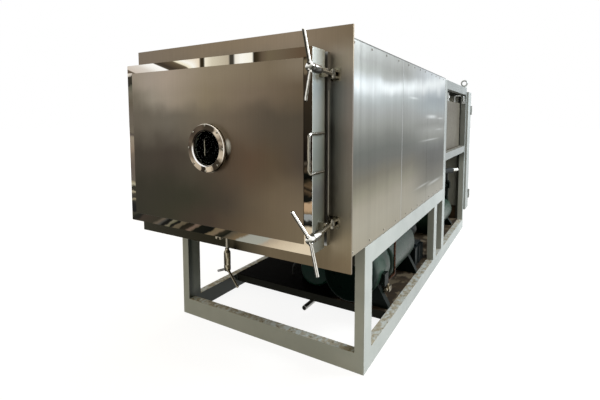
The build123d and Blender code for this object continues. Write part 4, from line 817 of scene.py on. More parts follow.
@dataclass(frozen=True)
class SoftSkin:
    """Rubber, silicone or foam: dull, a little uneven, with a pored surface."""

    name: str
    colour: str
    worn: str
    roughness: float = 0.75
    pore_mm: float = 3.0
    pore_depth_mm: float = 0.12
    bare: tuple[float, str] = (99.0, "ffffff")  # y in metres past which it is another colour

    def build(self) -> Material:
        """Make the material.

        Returns:
            The finished material.
        """
        s = Shader(self.name)
        worn = s.span(s.noise(45, detail=5), 0.45, 0.7, True)
        pores = s.noise(self.pore_mm, detail=3)
        rough = s.scaled(pores, 0.2, self.roughness - 0.1)
        colour = s.mix(worn, self.colour, self.worn)
        return s.finish(
            Base_Color=s.mix(s.past(s.axes[1], self.bare[0]), colour, self.bare[1]),
            Roughness=rough,
            Normal=s.bump(pores, self.pore_depth_mm),
        )


@dataclass(frozen=True)
class SightGlass:
    """Thick toughened borosilicate over a dark chamber: clear, slightly green, with a few
    dust specks and one painted reflection of a lamp, a thin line down its outer skin. Its index
    is set low, or its two skins would mirror the white surroundings and hide how dark the chamber is."""

    name: str
    colour: str
    dust: str = "8a8c84"
    # colour of the painted lamp reflection
    lamp_reflection_colour: str = "f2f4ee"
    lamp_reflection_line: Place = (0.006, 1.29, 1.392)  # x of the painted lamp reflection, and its lowest and highest z in metres
    skin: float = -0.53  # y in metres between its outer and inner skins

    def lamp_reflection(self, s: Shader) -> Socket:
        """Share of the painted lamp reflection: thin, a little bent, broken, and faint at its ends.

        Args:
            s: The material under construction.

        Returns:
            The share.
        """
        x, y, z = s.axes
        aside, low, high = self.lamp_reflection_line
        half = (high - low) / 2
        bend = s.scaled(s.noise(60, detail=1), 0.012, aside - 0.006)
        away = s.math("ABSOLUTE", s.math("SUBTRACT", x, bend))
        along = s.math("ABSOLUTE", s.math("SUBTRACT", z, low + half))
        thin, long = s.span(away, 0.0032, 0.001, True), s.span(along, half, half * 0.7, True)
        broken = s.span(s.noise(9, detail=2), 0.3, 0.5)
        return s.product(thin, long, broken, s.math("LESS_THAN", y, self.skin))

    def build(self) -> Material:
        """Make the material.

        Returns:
            The finished material.
        """
        s = Shader(self.name)
        specks = s.span(s.noise(6, detail=4), 0.66, 0.75)
        # painted lamp reflection
        lamp_reflection = self.lamp_reflection(s)
        return s.finish(
            Base_Color=s.mix(lamp_reflection, s.mix(specks, self.colour, self.dust), self.lamp_reflection_colour),
            Roughness=s.scaled(specks, 0.25, 0.01),
            IOR=1.06,
            Transmission_Weight=s.math("SUBTRACT", 1.0, lamp_reflection),
        )


# ---------------------------------------------------------------- mesh tools
@dataclass(frozen=True)
class Axes:
    """A place and a direction that a turned or extruded piece is built along."""

    origin: Vector
    along: Vector
    up: Vector

    def matrix(self) -> Matrix:
        """Matrix that takes local Z to the direction and local X to the up vector.

        Returns:
            The matrix.
        """
        z = self.along.normalized()
        x = (self.up - z * self.up.dot(z)).normalized()
        y = z.cross(x)
        turn = Matrix((x, y, z)).transposed().to_4x4()
        return Matrix.Translation(self.origin) @ turn


def turned(profile: Profile, axes: Axes, steps: int) -> Mesh:
    """Turn a profile about an axis, as on a lathe.

    Args:
        profile: The outline, from end to end.
        axes: Place and direction of the turned piece.
        steps: Faces round it.

    Returns:
        The closed mesh, in the machine's frame.
    """
    made = bmesh.new()
    points = [made.verts.new((r * MM, 0, h * MM)) for r, h in profile]
    edges = [made.edges.new(pair) for pair in zip(points, points[1:])]
    bmesh.ops.spin(
        made,
        geom=points + edges,
        cent=(0, 0, 0),
        axis=(0, 0, 1),
        angle=2 * math.pi,
        steps=steps,
        use_merge=True,
    )
    bmesh.ops.remove_doubles(made, verts=made.verts, dist=1e-6)
    bmesh.ops.dissolve_degenerate(made, edges=made.edges, dist=1e-7)
    bmesh.ops.recalc_face_normals(made, faces=made.faces)
    bmesh.ops.transform(made, matrix=axes.matrix(), verts=made.verts)
    return made


def piece(
    name: str,
    parts: list[Mesh],
    body: str,
    material: Material,
) -> bpy.types.Object:
    """Join meshes into one finished piece that moves with a body.

    Args:
        name: The piece's name.
        parts: Its meshes, in the machine's frame. They are used up.
        body: The body that it rides on.
        material: Its material.

    Returns:
        The object, at the origin.
    """
    mesh = bpy.data.meshes.new(name)
    whole = bmesh.new()
    for part in parts:
        part.to_mesh(mesh)
        whole.from_mesh(mesh)
        part.free()
    sharp = math.radians(SMOOTH_DEG)
    for face in whole.faces:
        face.smooth = True
    for edge in whole.edges:
        edge.smooth = edge.calc_face_angle(0.0) < sharp
    whole.to_mesh(mesh)
    whole.free()
    made = bpy.data.objects.new(name, mesh)
    bpy.context.scene.collection.objects.link(made)
    mesh.materials.append(material)
    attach(made, body)
    LOG.info("%s: %d faces on %s", name, len(mesh.polygons), body)
    return made


# ---------------------------------------------------------------- sub-assemblies
@dataclass
class ClampNut:
    """Long sleeve nut with two swept arms, on the swing bolt of a door clamp."""

    place: str  # upper, lower or bottom
    start_mm: float
    turn_deg: float
    side: Vector  # the arms' sideways direction, before the nut is turned
    up: Vector  # the arms' direction, before the nut is turned
    length_mm: float = 138.0
    neck_mm: float = 12.5
    radius_mm: float = 20.0
    hub_inset_mm: float = 13.0  # from the crowned end to the arms
    arm_mm: float = 157.0
    arm_radius_mm: float = 7.5
    sweep_deg: float = 23.0
    bore_mm: float = 8.1
    bore_depth_mm: float = 134.5

    def sleeve(self, axes: Axes) -> Mesh:
        """Turn the bored sleeve, with a rounded neck, a waist line and a crowned end.

        Args:
            axes: Place of its neck, and its direction.

        Returns:
            The mesh.
        """
        n, r, b, end = self.neck_mm, self.radius_mm, self.bore_mm, self.length_mm
        profile = (
            (0, self.bore_depth_mm), (b, self.bore_depth_mm), (b, 1.5), (b + 1.2, 0),
            (n - 1.2, 0), (n - 0.3, 0.4), (n, 1.4), (n, 9.2), (n + 0.4, 10.8), (r - 0.7, 23.2),
            (r, 26), (r, 96), (r - 0.8, 98), (r - 0.8, 101), (r, 103), (r, end - 8),
            (r - 1.2, end - 4), (r - 4, end - 1.2), (r - 8, end - 0.2), (0, end),
        )
        return turned(profile, axes, 48)

    def arm(self, hub: Vector, way: Vector, up: Vector) -> Mesh:
        """Turn a round bar with a weld collar at its root and a domed tip.

        Args:
            hub: Where it starts, inside the sleeve.
            way: Its direction.
            up: A vector across it.

        Returns:
            The mesh.
        """
        a, end = self.arm_radius_mm, self.arm_mm
        weld = self.radius_mm
        profile = (
            (0, 4), (a, 4), (a + 3.4, weld - 2), (a + 2.8, weld + 1), (a + 0.9, weld + 4),
            (a, weld + 6), (a, end - 3), (a - 0.4, end - 1.2), (a - 1.6, end - 0.3),
            (a - 3.4, end), (0, end),
        )
        return turned(profile, Axes(hub, way, up), 28)

    def build(self, sleeve_steel: Material, arm_steel: Material) -> None:
        """Make the sleeve and the arms, and let the sleeve stand for the CAD node.

        Args:
            sleeve_steel: Material of the sleeve.
            arm_steel: Material of the arms.
        """
        joint = next(j for j in frame["joints"] if j["name"] == f"nut_{self.place}_turn")
        along = Vector(joint["axis"]).normalized()
        start = Vector(joint["pos_m"]) + along * self.start_mm * MM
        turn, sweep = math.radians(self.turn_deg), math.radians(self.sweep_deg)
        up = self.up * math.cos(turn) + self.side * math.sin(turn)
        body = f"nut_{self.place}"
        sleeve = [self.sleeve(Axes(start, along, up))]
        made = piece(f"nut_sleeve_{self.place}", sleeve, body, sleeve_steel)
        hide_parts(f"clamp_nut_{self.place}")
        hub = start + along * (self.length_mm - self.hub_inset_mm) * MM
        arms = []
        for sign in (1, -1):
            way = up * math.cos(sweep) * sign + along * math.sin(sweep)
            arms.append(self.arm(hub, way, along))
        piece(f"nut_arms_{self.place}", arms, body, arm_steel)


@dataclass
class FlangeBead:
    """Half-round bar welded along the side of the chamber's flange, between the clamps."""

    width_mm: float = 6.0
    length_mm: float = 640.0
    behind_mm: float = 12.0  # in front of the flange's rear face
    drop_mm: float = 20.0  # its middle under the flange's middle

    def build(self, material: Material) -> None:
        """Make the bar.

        Args:
            material: Its material.
        """
        low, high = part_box("chamber_flange")
        foot = (low.z + high.z) / 2 - (self.length_mm / 2 + self.drop_mm) * MM
        start = Vector((high.x, high.y - self.behind_mm * MM, foot))
        r, end = self.width_mm / 2, self.length_mm
        profile = ((0, 0), (r - 1, 0), (r, 1), (r, end - 1), (r - 1, end), (0, end))
        bar = turned(profile, Axes(start, UP, Vector((1, 0, 0))), 16)
        piece("flange_bead", [bar], "machine", material)


@dataclass
class SightRing:
    """Cover ring of the sight glass: a flat face between a rounded outer edge and a
    bevelled bore, with a turned step on its rim."""

    outer_mm: float = 133.0
    bore_mm: float = 95.0
    round_mm: float = 5.0
    bevel_mm: float = 6.0

    def build(self) -> None:
        """Make the ring and let it stand for its CAD node."""
        low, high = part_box("sight_cover_ring")
        centre = (low + high) / 2
        thick = (high.y - low.y) / MM
        o, b, r = self.outer_mm, self.bore_mm, self.round_mm
        rounded = tuple(
            (o - r + r * math.sin(a), thick - r + r * math.cos(a))
            for a in (math.radians(15 * k) for k in range(7))
        )
        foot = thick - self.bevel_mm
        profile = (
            (b, 0), (o - 1.5, 0), (o - 1.5, 2), (o, 3), *reversed(rounded),
            (b + self.bevel_mm, thick), (b + 1, foot), (b, foot), (b, 0),
        )
        back = Vector((centre.x, high.y, centre.z))
        made = turned(profile, Axes(back, FORWARD, UP), 96)
        # buffed ring: painted reflections, brown with light patches, and painted highlights round its edges
        bore = (self.bore_mm + self.bevel_mm + 0.5) * MM
        steel = RingSteel(
            "ring_steel", tuple(centre), bore, RING_REFLECTIONS, RING_EDGE_HIGHLIGHTS, RING_LIP_HIGHLIGHTS
        ).build()
        ring = piece("sight_ring", [made], "door", steel)
        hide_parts("sight_cover_ring")


@dataclass
class SightScrews:
    """Eight button-head screws with a hexagon socket, round the sight glass."""

    count: int = 8
    pitch_mm: float = 123.0
    head_mm: float = 6.5
    rise_mm: float = 5.0
    socket_mm: float = 2.9
    socket_depth_mm: float = 2.6
    floor_mm: float = 0.1  # hexagonal floor of the socket

    def screw(self, centre: Vector) -> list[Mesh]:
        """Turn the head and the socket's floor of one screw.

        Args:
            centre: Where it meets the ring.

        Returns:
            The meshes.
        """
        h, r = self.rise_mm, self.head_mm
        axes = Axes(centre, FORWARD, UP)
        profile = (
            (0, -2), (r, -2), (r, h * 0.3), (r * 0.93, h * 0.62), (r * 0.76, h * 0.88),
            (r * 0.6, h), (self.socket_mm, h), (self.socket_mm, h - self.socket_depth_mm),
            (0, h - self.socket_depth_mm),
        )
        low, wide = h - self.socket_depth_mm + self.floor_mm, self.socket_mm * 1.02
        high = low + self.floor_mm
        six = turned(((0, low), (wide, low), (wide, high), (0, high)), axes, 6)
        return [turned(profile, axes, 24), six]

    def build(self, material: Material) -> None:
        """Make the screws and let them stand for their CAD node.

        Args:
            material: Their material.
        """
        low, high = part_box("sight_cover_ring")
        centre = (low + high) / 2
        parts: list[Mesh] = []
        for k in range(self.count):
            turn = 2 * math.pi * k / self.count
            at = Vector((math.cos(turn), 0, math.sin(turn))) * self.pitch_mm * MM
            parts += self.screw(Vector((centre.x + at.x, low.y, centre.z + at.z)))
        made = piece("sight_screw_heads", parts, "door", material)
        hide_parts("sight_screws")


# ---------------------------------------------------------------- stage
@dataclass(frozen=True)
class Softbox:
    """A soft rectangular lamp."""

    name: str
    at: Place
    to: Place  # the point that it faces
    size: tuple[float, float]
    watts: float
    colour: str

    def hang(self) -> None:
        """Put the lamp in its place and turn it to its point."""
        data = bpy.data.lights.new(self.name, "AREA")
        data.shape = "RECTANGLE"
        data.size, data.size_y = self.size
        data.energy = self.watts
        data.color = linear(self.colour)[:3]
        lamp = bpy.data.objects.new(self.name, data)
        lamp.location = self.at
        way = Vector(self.to) - Vector(self.at)
        lamp.rotation_euler = way.to_track_quat("-Z", "Y").to_euler()
        bpy.context.scene.collection.objects.link(lamp)


@dataclass
class Studio:
    """Pale floor, white surroundings, soft light, and the camera."""

    eye: Place = (1.5395, -2.1015, 1.5)
    pitch_deg: float = 4.4971
    yaw_deg: float = 31.2027
    roll_deg: float = -0.1007
    lens_mm: float = 23.5655
    shift: tuple[float, float] = (0.00579, -0.08426)
    horizon: str = "938972"
    zenith: str = "e6dcc4"
    ground: str = "e6e4e0"
    bounce: str = "8a877f"  # the ground as it lights the object
    lamps: tuple[Softbox, ...] = (
        Softbox("right_softbox", (5.6, 4.4, 4.4), (0.4, 1.4, 0.9), (4.0, 3.0), 560, "ebf5ff"),
        Softbox("top_softbox", (0.5, 1.0, 6.0), (0.2, 1.0, 1.0), (4.0, 4.0), 120, "ffffff"),
    )

    def camera(self) -> None:
        """Set the camera at a standing eye, to the right of the door."""
        data = bpy.data.cameras.new("camera")
        data.lens = self.lens_mm
        data.sensor_width = 36.0
        data.shift_x, data.shift_y = self.shift
        eye = bpy.data.objects.new("camera", data)
        turn = Euler((math.radians(90 - self.pitch_deg), 0, math.radians(self.yaw_deg)))
        roll = Matrix.Rotation(math.radians(self.roll_deg), 4, "Z")
        eye.matrix_world = Matrix.Translation(self.eye) @ turn.to_matrix().to_4x4() @ roll
        bpy.context.scene.collection.objects.link(eye)
        bpy.context.scene.camera = eye

    def seen(self, tree: bpy.types.NodeTree) -> Socket:
        """One for rays that show the background: camera, glossy and transmission rays.

        Args:
            tree: The node tree of the world or the floor.

        Returns:
            One or nothing.
        """
        path = add(tree, "LightPath").outputs
        rays = (path[f"Is {kind} Ray"] for kind in ("Camera", "Glossy", "Transmission"))
        return reduce(
            lambda a, b: add(tree, "Math", {0: a, 1: b}, operation="MAXIMUM").outputs[0], rays
        )

    def world(self) -> None:
        """White surroundings that light the object at a plain, slightly warm level."""
        world = bpy.data.worlds.new("surroundings")
        bpy.context.scene.world = world
        world.use_nodes = True
        tree = world.node_tree
        tree.nodes.clear()
        way = add(tree, "SeparateXYZ", {0: add(tree, "TexCoord").outputs["Generated"]}).outputs[2]
        rise = add(tree, "MapRange", {0: way, 1: 0.0, 2: 0.8}, interpolation_type="SMOOTHSTEP")
        colours = {0: rise.outputs[0], 6: linear(self.horizon), 7: linear(self.zenith)}
        sky = add(tree, "Mix", colours, data_type="RGBA").outputs[2]
        shades = (add(tree, "Background", {0: shade, 1: 1.0}) for shade in (sky, (1, 1, 1, 1)))
        plain, white = (shade.outputs[0] for shade in shades)
        both = add(tree, "MixShader", {0: self.seen(tree), 1: plain, 2: white})
        add(tree, "OutputWorld", {0: both.outputs[0]})

    def floor(self) -> None:
        """Pale floor that keeps a soft shadow of the machine."""
        made = bmesh.new()
        bmesh.ops.create_grid(made, x_segments=1, y_segments=1, size=60)
        bmesh.ops.translate(made, vec=(0, 0, -0.0005), verts=made.verts)
        mesh = bpy.data.meshes.new("floor")
        made.to_mesh(mesh)
        made.free()
        ground = bpy.data.objects.new("floor", mesh)
        bpy.context.scene.collection.objects.link(ground)
        material = bpy.data.materials.new("pale_floor")
        material.use_nodes = True
        tree = material.node_tree
        tree.nodes.clear()
        matt = add(tree, "BsdfDiffuse", {0: linear(self.ground)}).outputs[0]
        dull = add(tree, "BsdfDiffuse", {0: linear(self.bounce)}).outputs[0]
        lit = add(tree, "Emission", {0: (1, 1, 1, 1), 1: 1.2}).outputs[0]
        place = add(tree, "TexCoord").outputs["Object"]
        away = add(tree, "VectorMath", {0: place}, operation="LENGTH").outputs["Value"]
        near = add(tree, "MapRange", {0: away, 1: 7.0, 2: 4.0, 4: 0.25}).outputs[0]
        shown = add(tree, "MixShader", {0: near, 1: lit, 2: matt}).outputs[0]
        both = add(tree, "MixShader", {0: self.seen(tree), 1: dull, 2: shown})
        add(tree, "OutputMaterial", {0: both.outputs[0]})
        mesh.materials.append(material)

    def build(self) -> None:
        """Set up everything round the machine."""
        self.camera()
        self.world()
        self.floor()
        for lamp in self.lamps:
            lamp.hang()
        bpy.context.scene.view_settings.view_transform = "Standard"


# ---------------------------------------------------------------- finishes of this machine
# painted reflections and shade on the door's front panel: colours by x at each height, from its foot to its head
DOOR_REFLECTIONS = (
    (0.92, (
        (-0.6, "2a271b"), (-0.3, "343124"), (0.0, "42382e"), (0.2, "544839"), (0.3, "5f5241"),
        (0.6, "706450"),
    )),
    (1.05, (
        (-0.6, "2c281c"), (-0.15, "343226"), (0.15, "443c32"), (0.43, "685b49"), (0.6, "6e614f"),
    )),
    (1.28, (
        (-0.6, "3c352a"), (-0.3, "40382f"), (-0.1, "474035"), (0.3, "564637"), (0.45, "564939"),
        (0.6, "4c4339"),
    )),
    (1.50, (
        (-0.6, "61594c"), (-0.3, "686155"), (0.0, "6b6151"), (0.2, "665a4b"), (0.4, "544b3f"),
        (0.6, "50483c"),
    )),
    (1.63, (
        (-0.6, "6f6758"), (-0.43, "92897a"), (-0.29, "988c7c"), (0.0, "847761"), (0.29, "776958"),
        (0.6, "635645"),
    )),
    (1.75, (
        (-0.6, "948979"), (-0.43, "9e9284"), (-0.29, "a29484"), (0.0, "8c7f6a"), (0.29, "7f725e"),
        (0.43, "786b57"), (0.6, "807462"),
    )),
)
# painted reflections and shade on the mask plate round the door, in the same way
MASK_REFLECTIONS = (
    (0.76, (
        (-0.78, "262418"), (0.0, "232015"), (0.14, "4d4637"), (0.3, "665a47"), (0.66, "645845"),
        (0.78, "746650"),
    )),
    (0.90, (
        (-0.78, "29261b"), (0.6, "6e6450"), (0.66, "6c624e"), (0.70, "847964"), (0.78, "7f745e"),
    )),
    (1.05, ((-0.78, "35322a"), (0.66, "4e493e"), (0.70, "716c5f"), (0.78, "6b6557"))),
    (1.39, ((-0.78, "4a473f"), (0.66, "4a4943"), (0.70, "6a6860"), (0.78, "71695f"))),
    (1.62, ((-0.78, "5f5a50"), (0.66, "53544e"), (0.70, "71726c"), (0.78, "797269"))),
    (1.78, ((-0.78, "75695a"), (0.66, "797062"), (0.70, "8e8576"), (0.78, "8c8271"))),
    (1.92, ((-0.78, "786c5d"), (0.0, "83745f"), (0.45, "8a7b68"), (0.78, "756753"))),
)
# painted reflections on the side cladding: colours by height at its front and at its rear
CLAD_REFLECTIONS_NEAR = (
    (0.78, "b2ac9b"), (0.9, "b3ae9e"), (1.0, "aca696"), (1.08, "989482"), (1.16, "7e7a6c"),
    (1.25, "6f706a"), (1.31, "6f726c"), (1.38, "82847e"), (1.46, "9c9e98"), (1.54, "abadaa"),
    (1.62, "b8bebc"), (1.69, "c8cecd"), (1.75, "a9aba5"), (1.82, "a2a39e"), (1.88, "aeafaa"),
)
CLAD_REFLECTIONS_FAR = (
    (0.78, "b6b3a7"), (0.86, "aaa89b"), (0.92, "7d7c71"), (1.0, "6f6d63"), (1.1, "5b5c56"),
    (1.2, "60625e"), (1.27, "787b77"), (1.33, "959790"), (1.4, "acaea9"), (1.45, "9d9f9a"),
    (1.5, "afb1ae"), (1.58, "b4bcbd"), (1.68, "a9b2b6"), (1.76, "c2c9cd"), (1.88, "d8dddf"),
)
# painted reflections: small bright lenses on the side cladding
GLINTS = (
    Glint(1.58, 1.515, 0.3, 0.026, 0.75),
    Glint(1.95, 1.5, 0.2, 0.014, 0.5),
    Glint(1.9, 1.395, 0.22, 0.012, 0.35),
    Glint(1.55, 1.31, 0.5, 0.012, 0.4),
    Glint(1.75, 0.905, 0.4, 0.02, 0.45),
    Glint(1.3, 0.93, 0.35, 0.014, 0.35),
    Glint(0.95, 1.655, 0.2, 0.014, 0.6),
    Glint(1.85, 1.76, 0.16, 0.09, 0.5),
)
# painted reflections on buffed bar and tube: colour by how far the surface faces up and to the aisle
BAR_REFLECTIONS = (
    (-1.0, "201e18"), (-0.75, "4b4638"), (-0.55, "14130f"), (-0.38, "6b6454"), (-0.2, "a29a88"),
    (-0.06, "8f8b80"), (0.06, "7d796e"), (0.2, "35322a"), (0.36, "6f6b60"), (0.52, "a29f94"),
    (0.68, "f1efe8"), (1.0, "e0ddd3"),
)
# painted reflections and highlights on the cover ring of the sight glass: its flat face by angle, its outer edge
# and its bevel
RING_REFLECTIONS = (
    (-0.5, "3f362c"), (-0.42, "6f6252"), (-0.385, "b0a18c"), (-0.31, "a2937f"), (-0.29, "2a231b"),
    (-0.25, "2a231b"), (-0.24, "c9bba6"), (-0.2, "ad9d87"), (-0.17, "2e271f"), (-0.1, "3a3228"),
    (-0.07, "b9aa95"), (-0.02, "a89b88"), (0.0, "4a4035"), (0.03, "9b8d7a"), (0.06, "6b5e4e"),
    (0.1, "a2937f"), (0.135, "c9bba6"), (0.16, "3a3228"), (0.25, "3a3228"), (0.3, "55493c"),
    (0.4, "40362c"), (0.46, "5a4d3f"), (0.5, "3f362c"),
)
RING_EDGE_HIGHLIGHTS = (
    (-1.0, "2a241b"), (-0.55, "8b7f6c"), (-0.4, "2b251d"), (-0.1, "2b251d"), (0.12, "5a4f40"),
    (0.25, "efe6d6"), (0.5, "fffaf0"), (0.62, "b9ab95"), (0.7, "fff6e6"), (1.0, "e9dcc6"),
)
RING_LIP_HIGHLIGHTS = (
    (-1.0, "191511"), (-0.2, "120f0b"), (0.0, "2a251d"), (0.12, "8d8474"), (0.3, "f6f2ea"),
    (0.7, "ffffff"), (1.0, "efe9dd"),
)
# painted reflections on the nuts' arms, their sleeves, and the bottom clamp over the dark floor
ARM_REFLECTIONS = (
    (-1.0, "2a2820"), (-0.58, "3b372d"), (-0.42, "15130f"), (-0.22, "24211b"), (-0.12, "6f6b60"),
    (-0.02, "d9d6cc"), (0.08, "fbf9f3"), (0.22, "d0ccc1"), (0.32, "7d796c"), (0.42, "4b483e"),
    (0.55, "c9c6bb"), (0.7, "f1efe8"), (1.0, "b9b6aa"),
)
SLEEVE_REFLECTIONS = (
    (-1.0, "6b6a60"), (-0.9, "1b1b16"), (-0.6, "262620"), (-0.45, "4f4e45"), (-0.3, "2b2b25"),
    (-0.12, "2f2f28"), (-0.02, "8d8c82"), (0.06, "f4f3ec"), (0.5, "ffffff"), (0.86, "f4f3ec"),
    (0.94, "8d8c82"), (0.97, "2b2a22"), (1.0, "1c1b16"),
)
LOW_REFLECTIONS = (
    (-1.0, "1c1912"), (-0.5, "3b3526"), (-0.3, "17140d"), (-0.12, "6b6350"), (0.0, "b3ab97"),
    (0.1, "7d7560"), (0.25, "4a4333"), (0.5, "2c271c"), (0.75, "5c5544"), (1.0, "8d8672"),
)
# door pan's buffed rim: painted reflections of a workshop along its four strips
RIM_REFLECTIONS_TOP = (
    (-0.663, "5f5242"), (-0.645, "5f5242"), (-0.635, "cbbfb2"), (-0.5, "d9d1c6"), (-0.42, "f4f1ea"),
    (-0.345, "fffdf8"), (-0.335, "4a4031"), (-0.29, "392f25"), (-0.2, "5b4e3b"), (-0.175, "6b5f4c"),
    (-0.16, "ece2c7"), (-0.1, "fbf8ee"), (-0.045, "e5d5bc"), (-0.035, "2e2719"), (-0.008, "2e2719"),
    (0.0, "f0e8d4"), (0.05, "d2c9b2"), (0.165, "b7ab95"), (0.175, "3f3b32"), (0.2, "3f3b32"),
    (0.21, "ebe5d7"), (0.25, "fbf8ee"), (0.32, "f5f0e0"), (0.328, "241e12"), (0.355, "3a3122"),
    (0.38, "5d5040"), (0.42, "6b5f4a"), (0.5, "675a48"), (0.6, "5f4e3c"), (0.663, "5d4d3a"),
)
RIM_REFLECTIONS_BOTTOM = (
    (-0.663, "333125"), (-0.63, "121208"), (-0.59, "120f08"), (-0.56, "342b22"), (-0.42, "2f2b20"),
    (-0.39, "5c5246"), (-0.365, "3d3c38"), (-0.345, "080702"), (-0.32, "080702"), (-0.3, "6e6857"),
    (-0.28, "5b5944"), (-0.27, "0d0c08"), (-0.25, "12100a"), (-0.24, "5c5342"), (-0.2, "554c3b"),
    (-0.185, "151209"), (-0.145, "241e14"), (-0.12, "6e5c50"), (-0.095, "5a4c3e"),
    (-0.085, "0f1008"), (0.015, "0b0b08"), (0.03, "695d47"), (0.075, "6f604d"), (0.095, "2a261c"),
    (0.14, "15160f"), (0.16, "4c463a"), (0.24, "6c5c45"), (0.265, "96978f"), (0.38, "9b9c92"),
    (0.41, "a59885"), (0.47, "bcad96"), (0.6, "d0c2aa"),
)
RIM_REFLECTIONS_RIGHT = (
    (0.86, "cdbfa6"), (0.985, "c2b49c"), (0.998, "0c0c0a"), (1.02, "2a2a26"), (1.03, "878a88"),
    (1.055, "8b8f90"), (1.06, "64543d"), (1.075, "a88e70"), (1.105, "aa8f72"), (1.115, "0e100d"),
    (1.135, "15130f"), (1.15, "4a3c2c"), (1.165, "1a1610"), (1.185, "50412f"), (1.2, "262117"),
    (1.215, "070705"), (1.24, "0a0c08"), (1.255, "3d3326"), (1.27, "1a150f"), (1.29, "484035"),
    (1.305, "100d0a"), (1.34, "130f0d"), (1.4, "1c1610"), (1.46, "262119"), (1.6, "31291f"),
    (1.7, "393025"), (1.72, "6e614e"), (1.77, "70654f"), (1.785, "33291c"), (1.82, "3a3122"),
)
RIM_REFLECTIONS_LEFT = (
    (0.86, "29291d"), (0.9, "3a382d"), (0.91, "000000"), (0.95, "0b0806"), (0.97, "2c2a1f"),
    (0.985, "8a8068"), (0.995, "252219"), (1.02, "3a352a"), (1.035, "9a9078"), (1.045, "2b271c"),
    (1.07, "252316"), (1.085, "a09a84"), (1.1, "8a8068"), (1.11, "5a5248"), (1.2, "5b5047"),
    (1.27, "6a5e50"), (1.3, "7a6b5b"), (1.38, "857a69"), (1.395, "4a413a"), (1.42, "625a4c"),
    (1.5, "665d51"), (1.6, "5f5647"), (1.66, "6b6455"), (1.7, "5a5849"), (1.71, "2a261b"),
    (1.765, "332e22"), (1.775, "d6cdc0"), (1.82, "e8e1d7"),
)
# painted reflections and shade on the door pan's satin sides, by height
PAN_SIDE_REFLECTIONS = (
    (0.86, "80847e"), (0.95, "8b8d86"), (1.08, "71756c"), (1.19, "727475"), (1.29, "8c928c"),
    (1.39, "929a97"), (1.49, "acb3af"), (1.6, "b9c0bf"), (1.7, "adb7b9"), (1.8, "d3d9d5"),
)


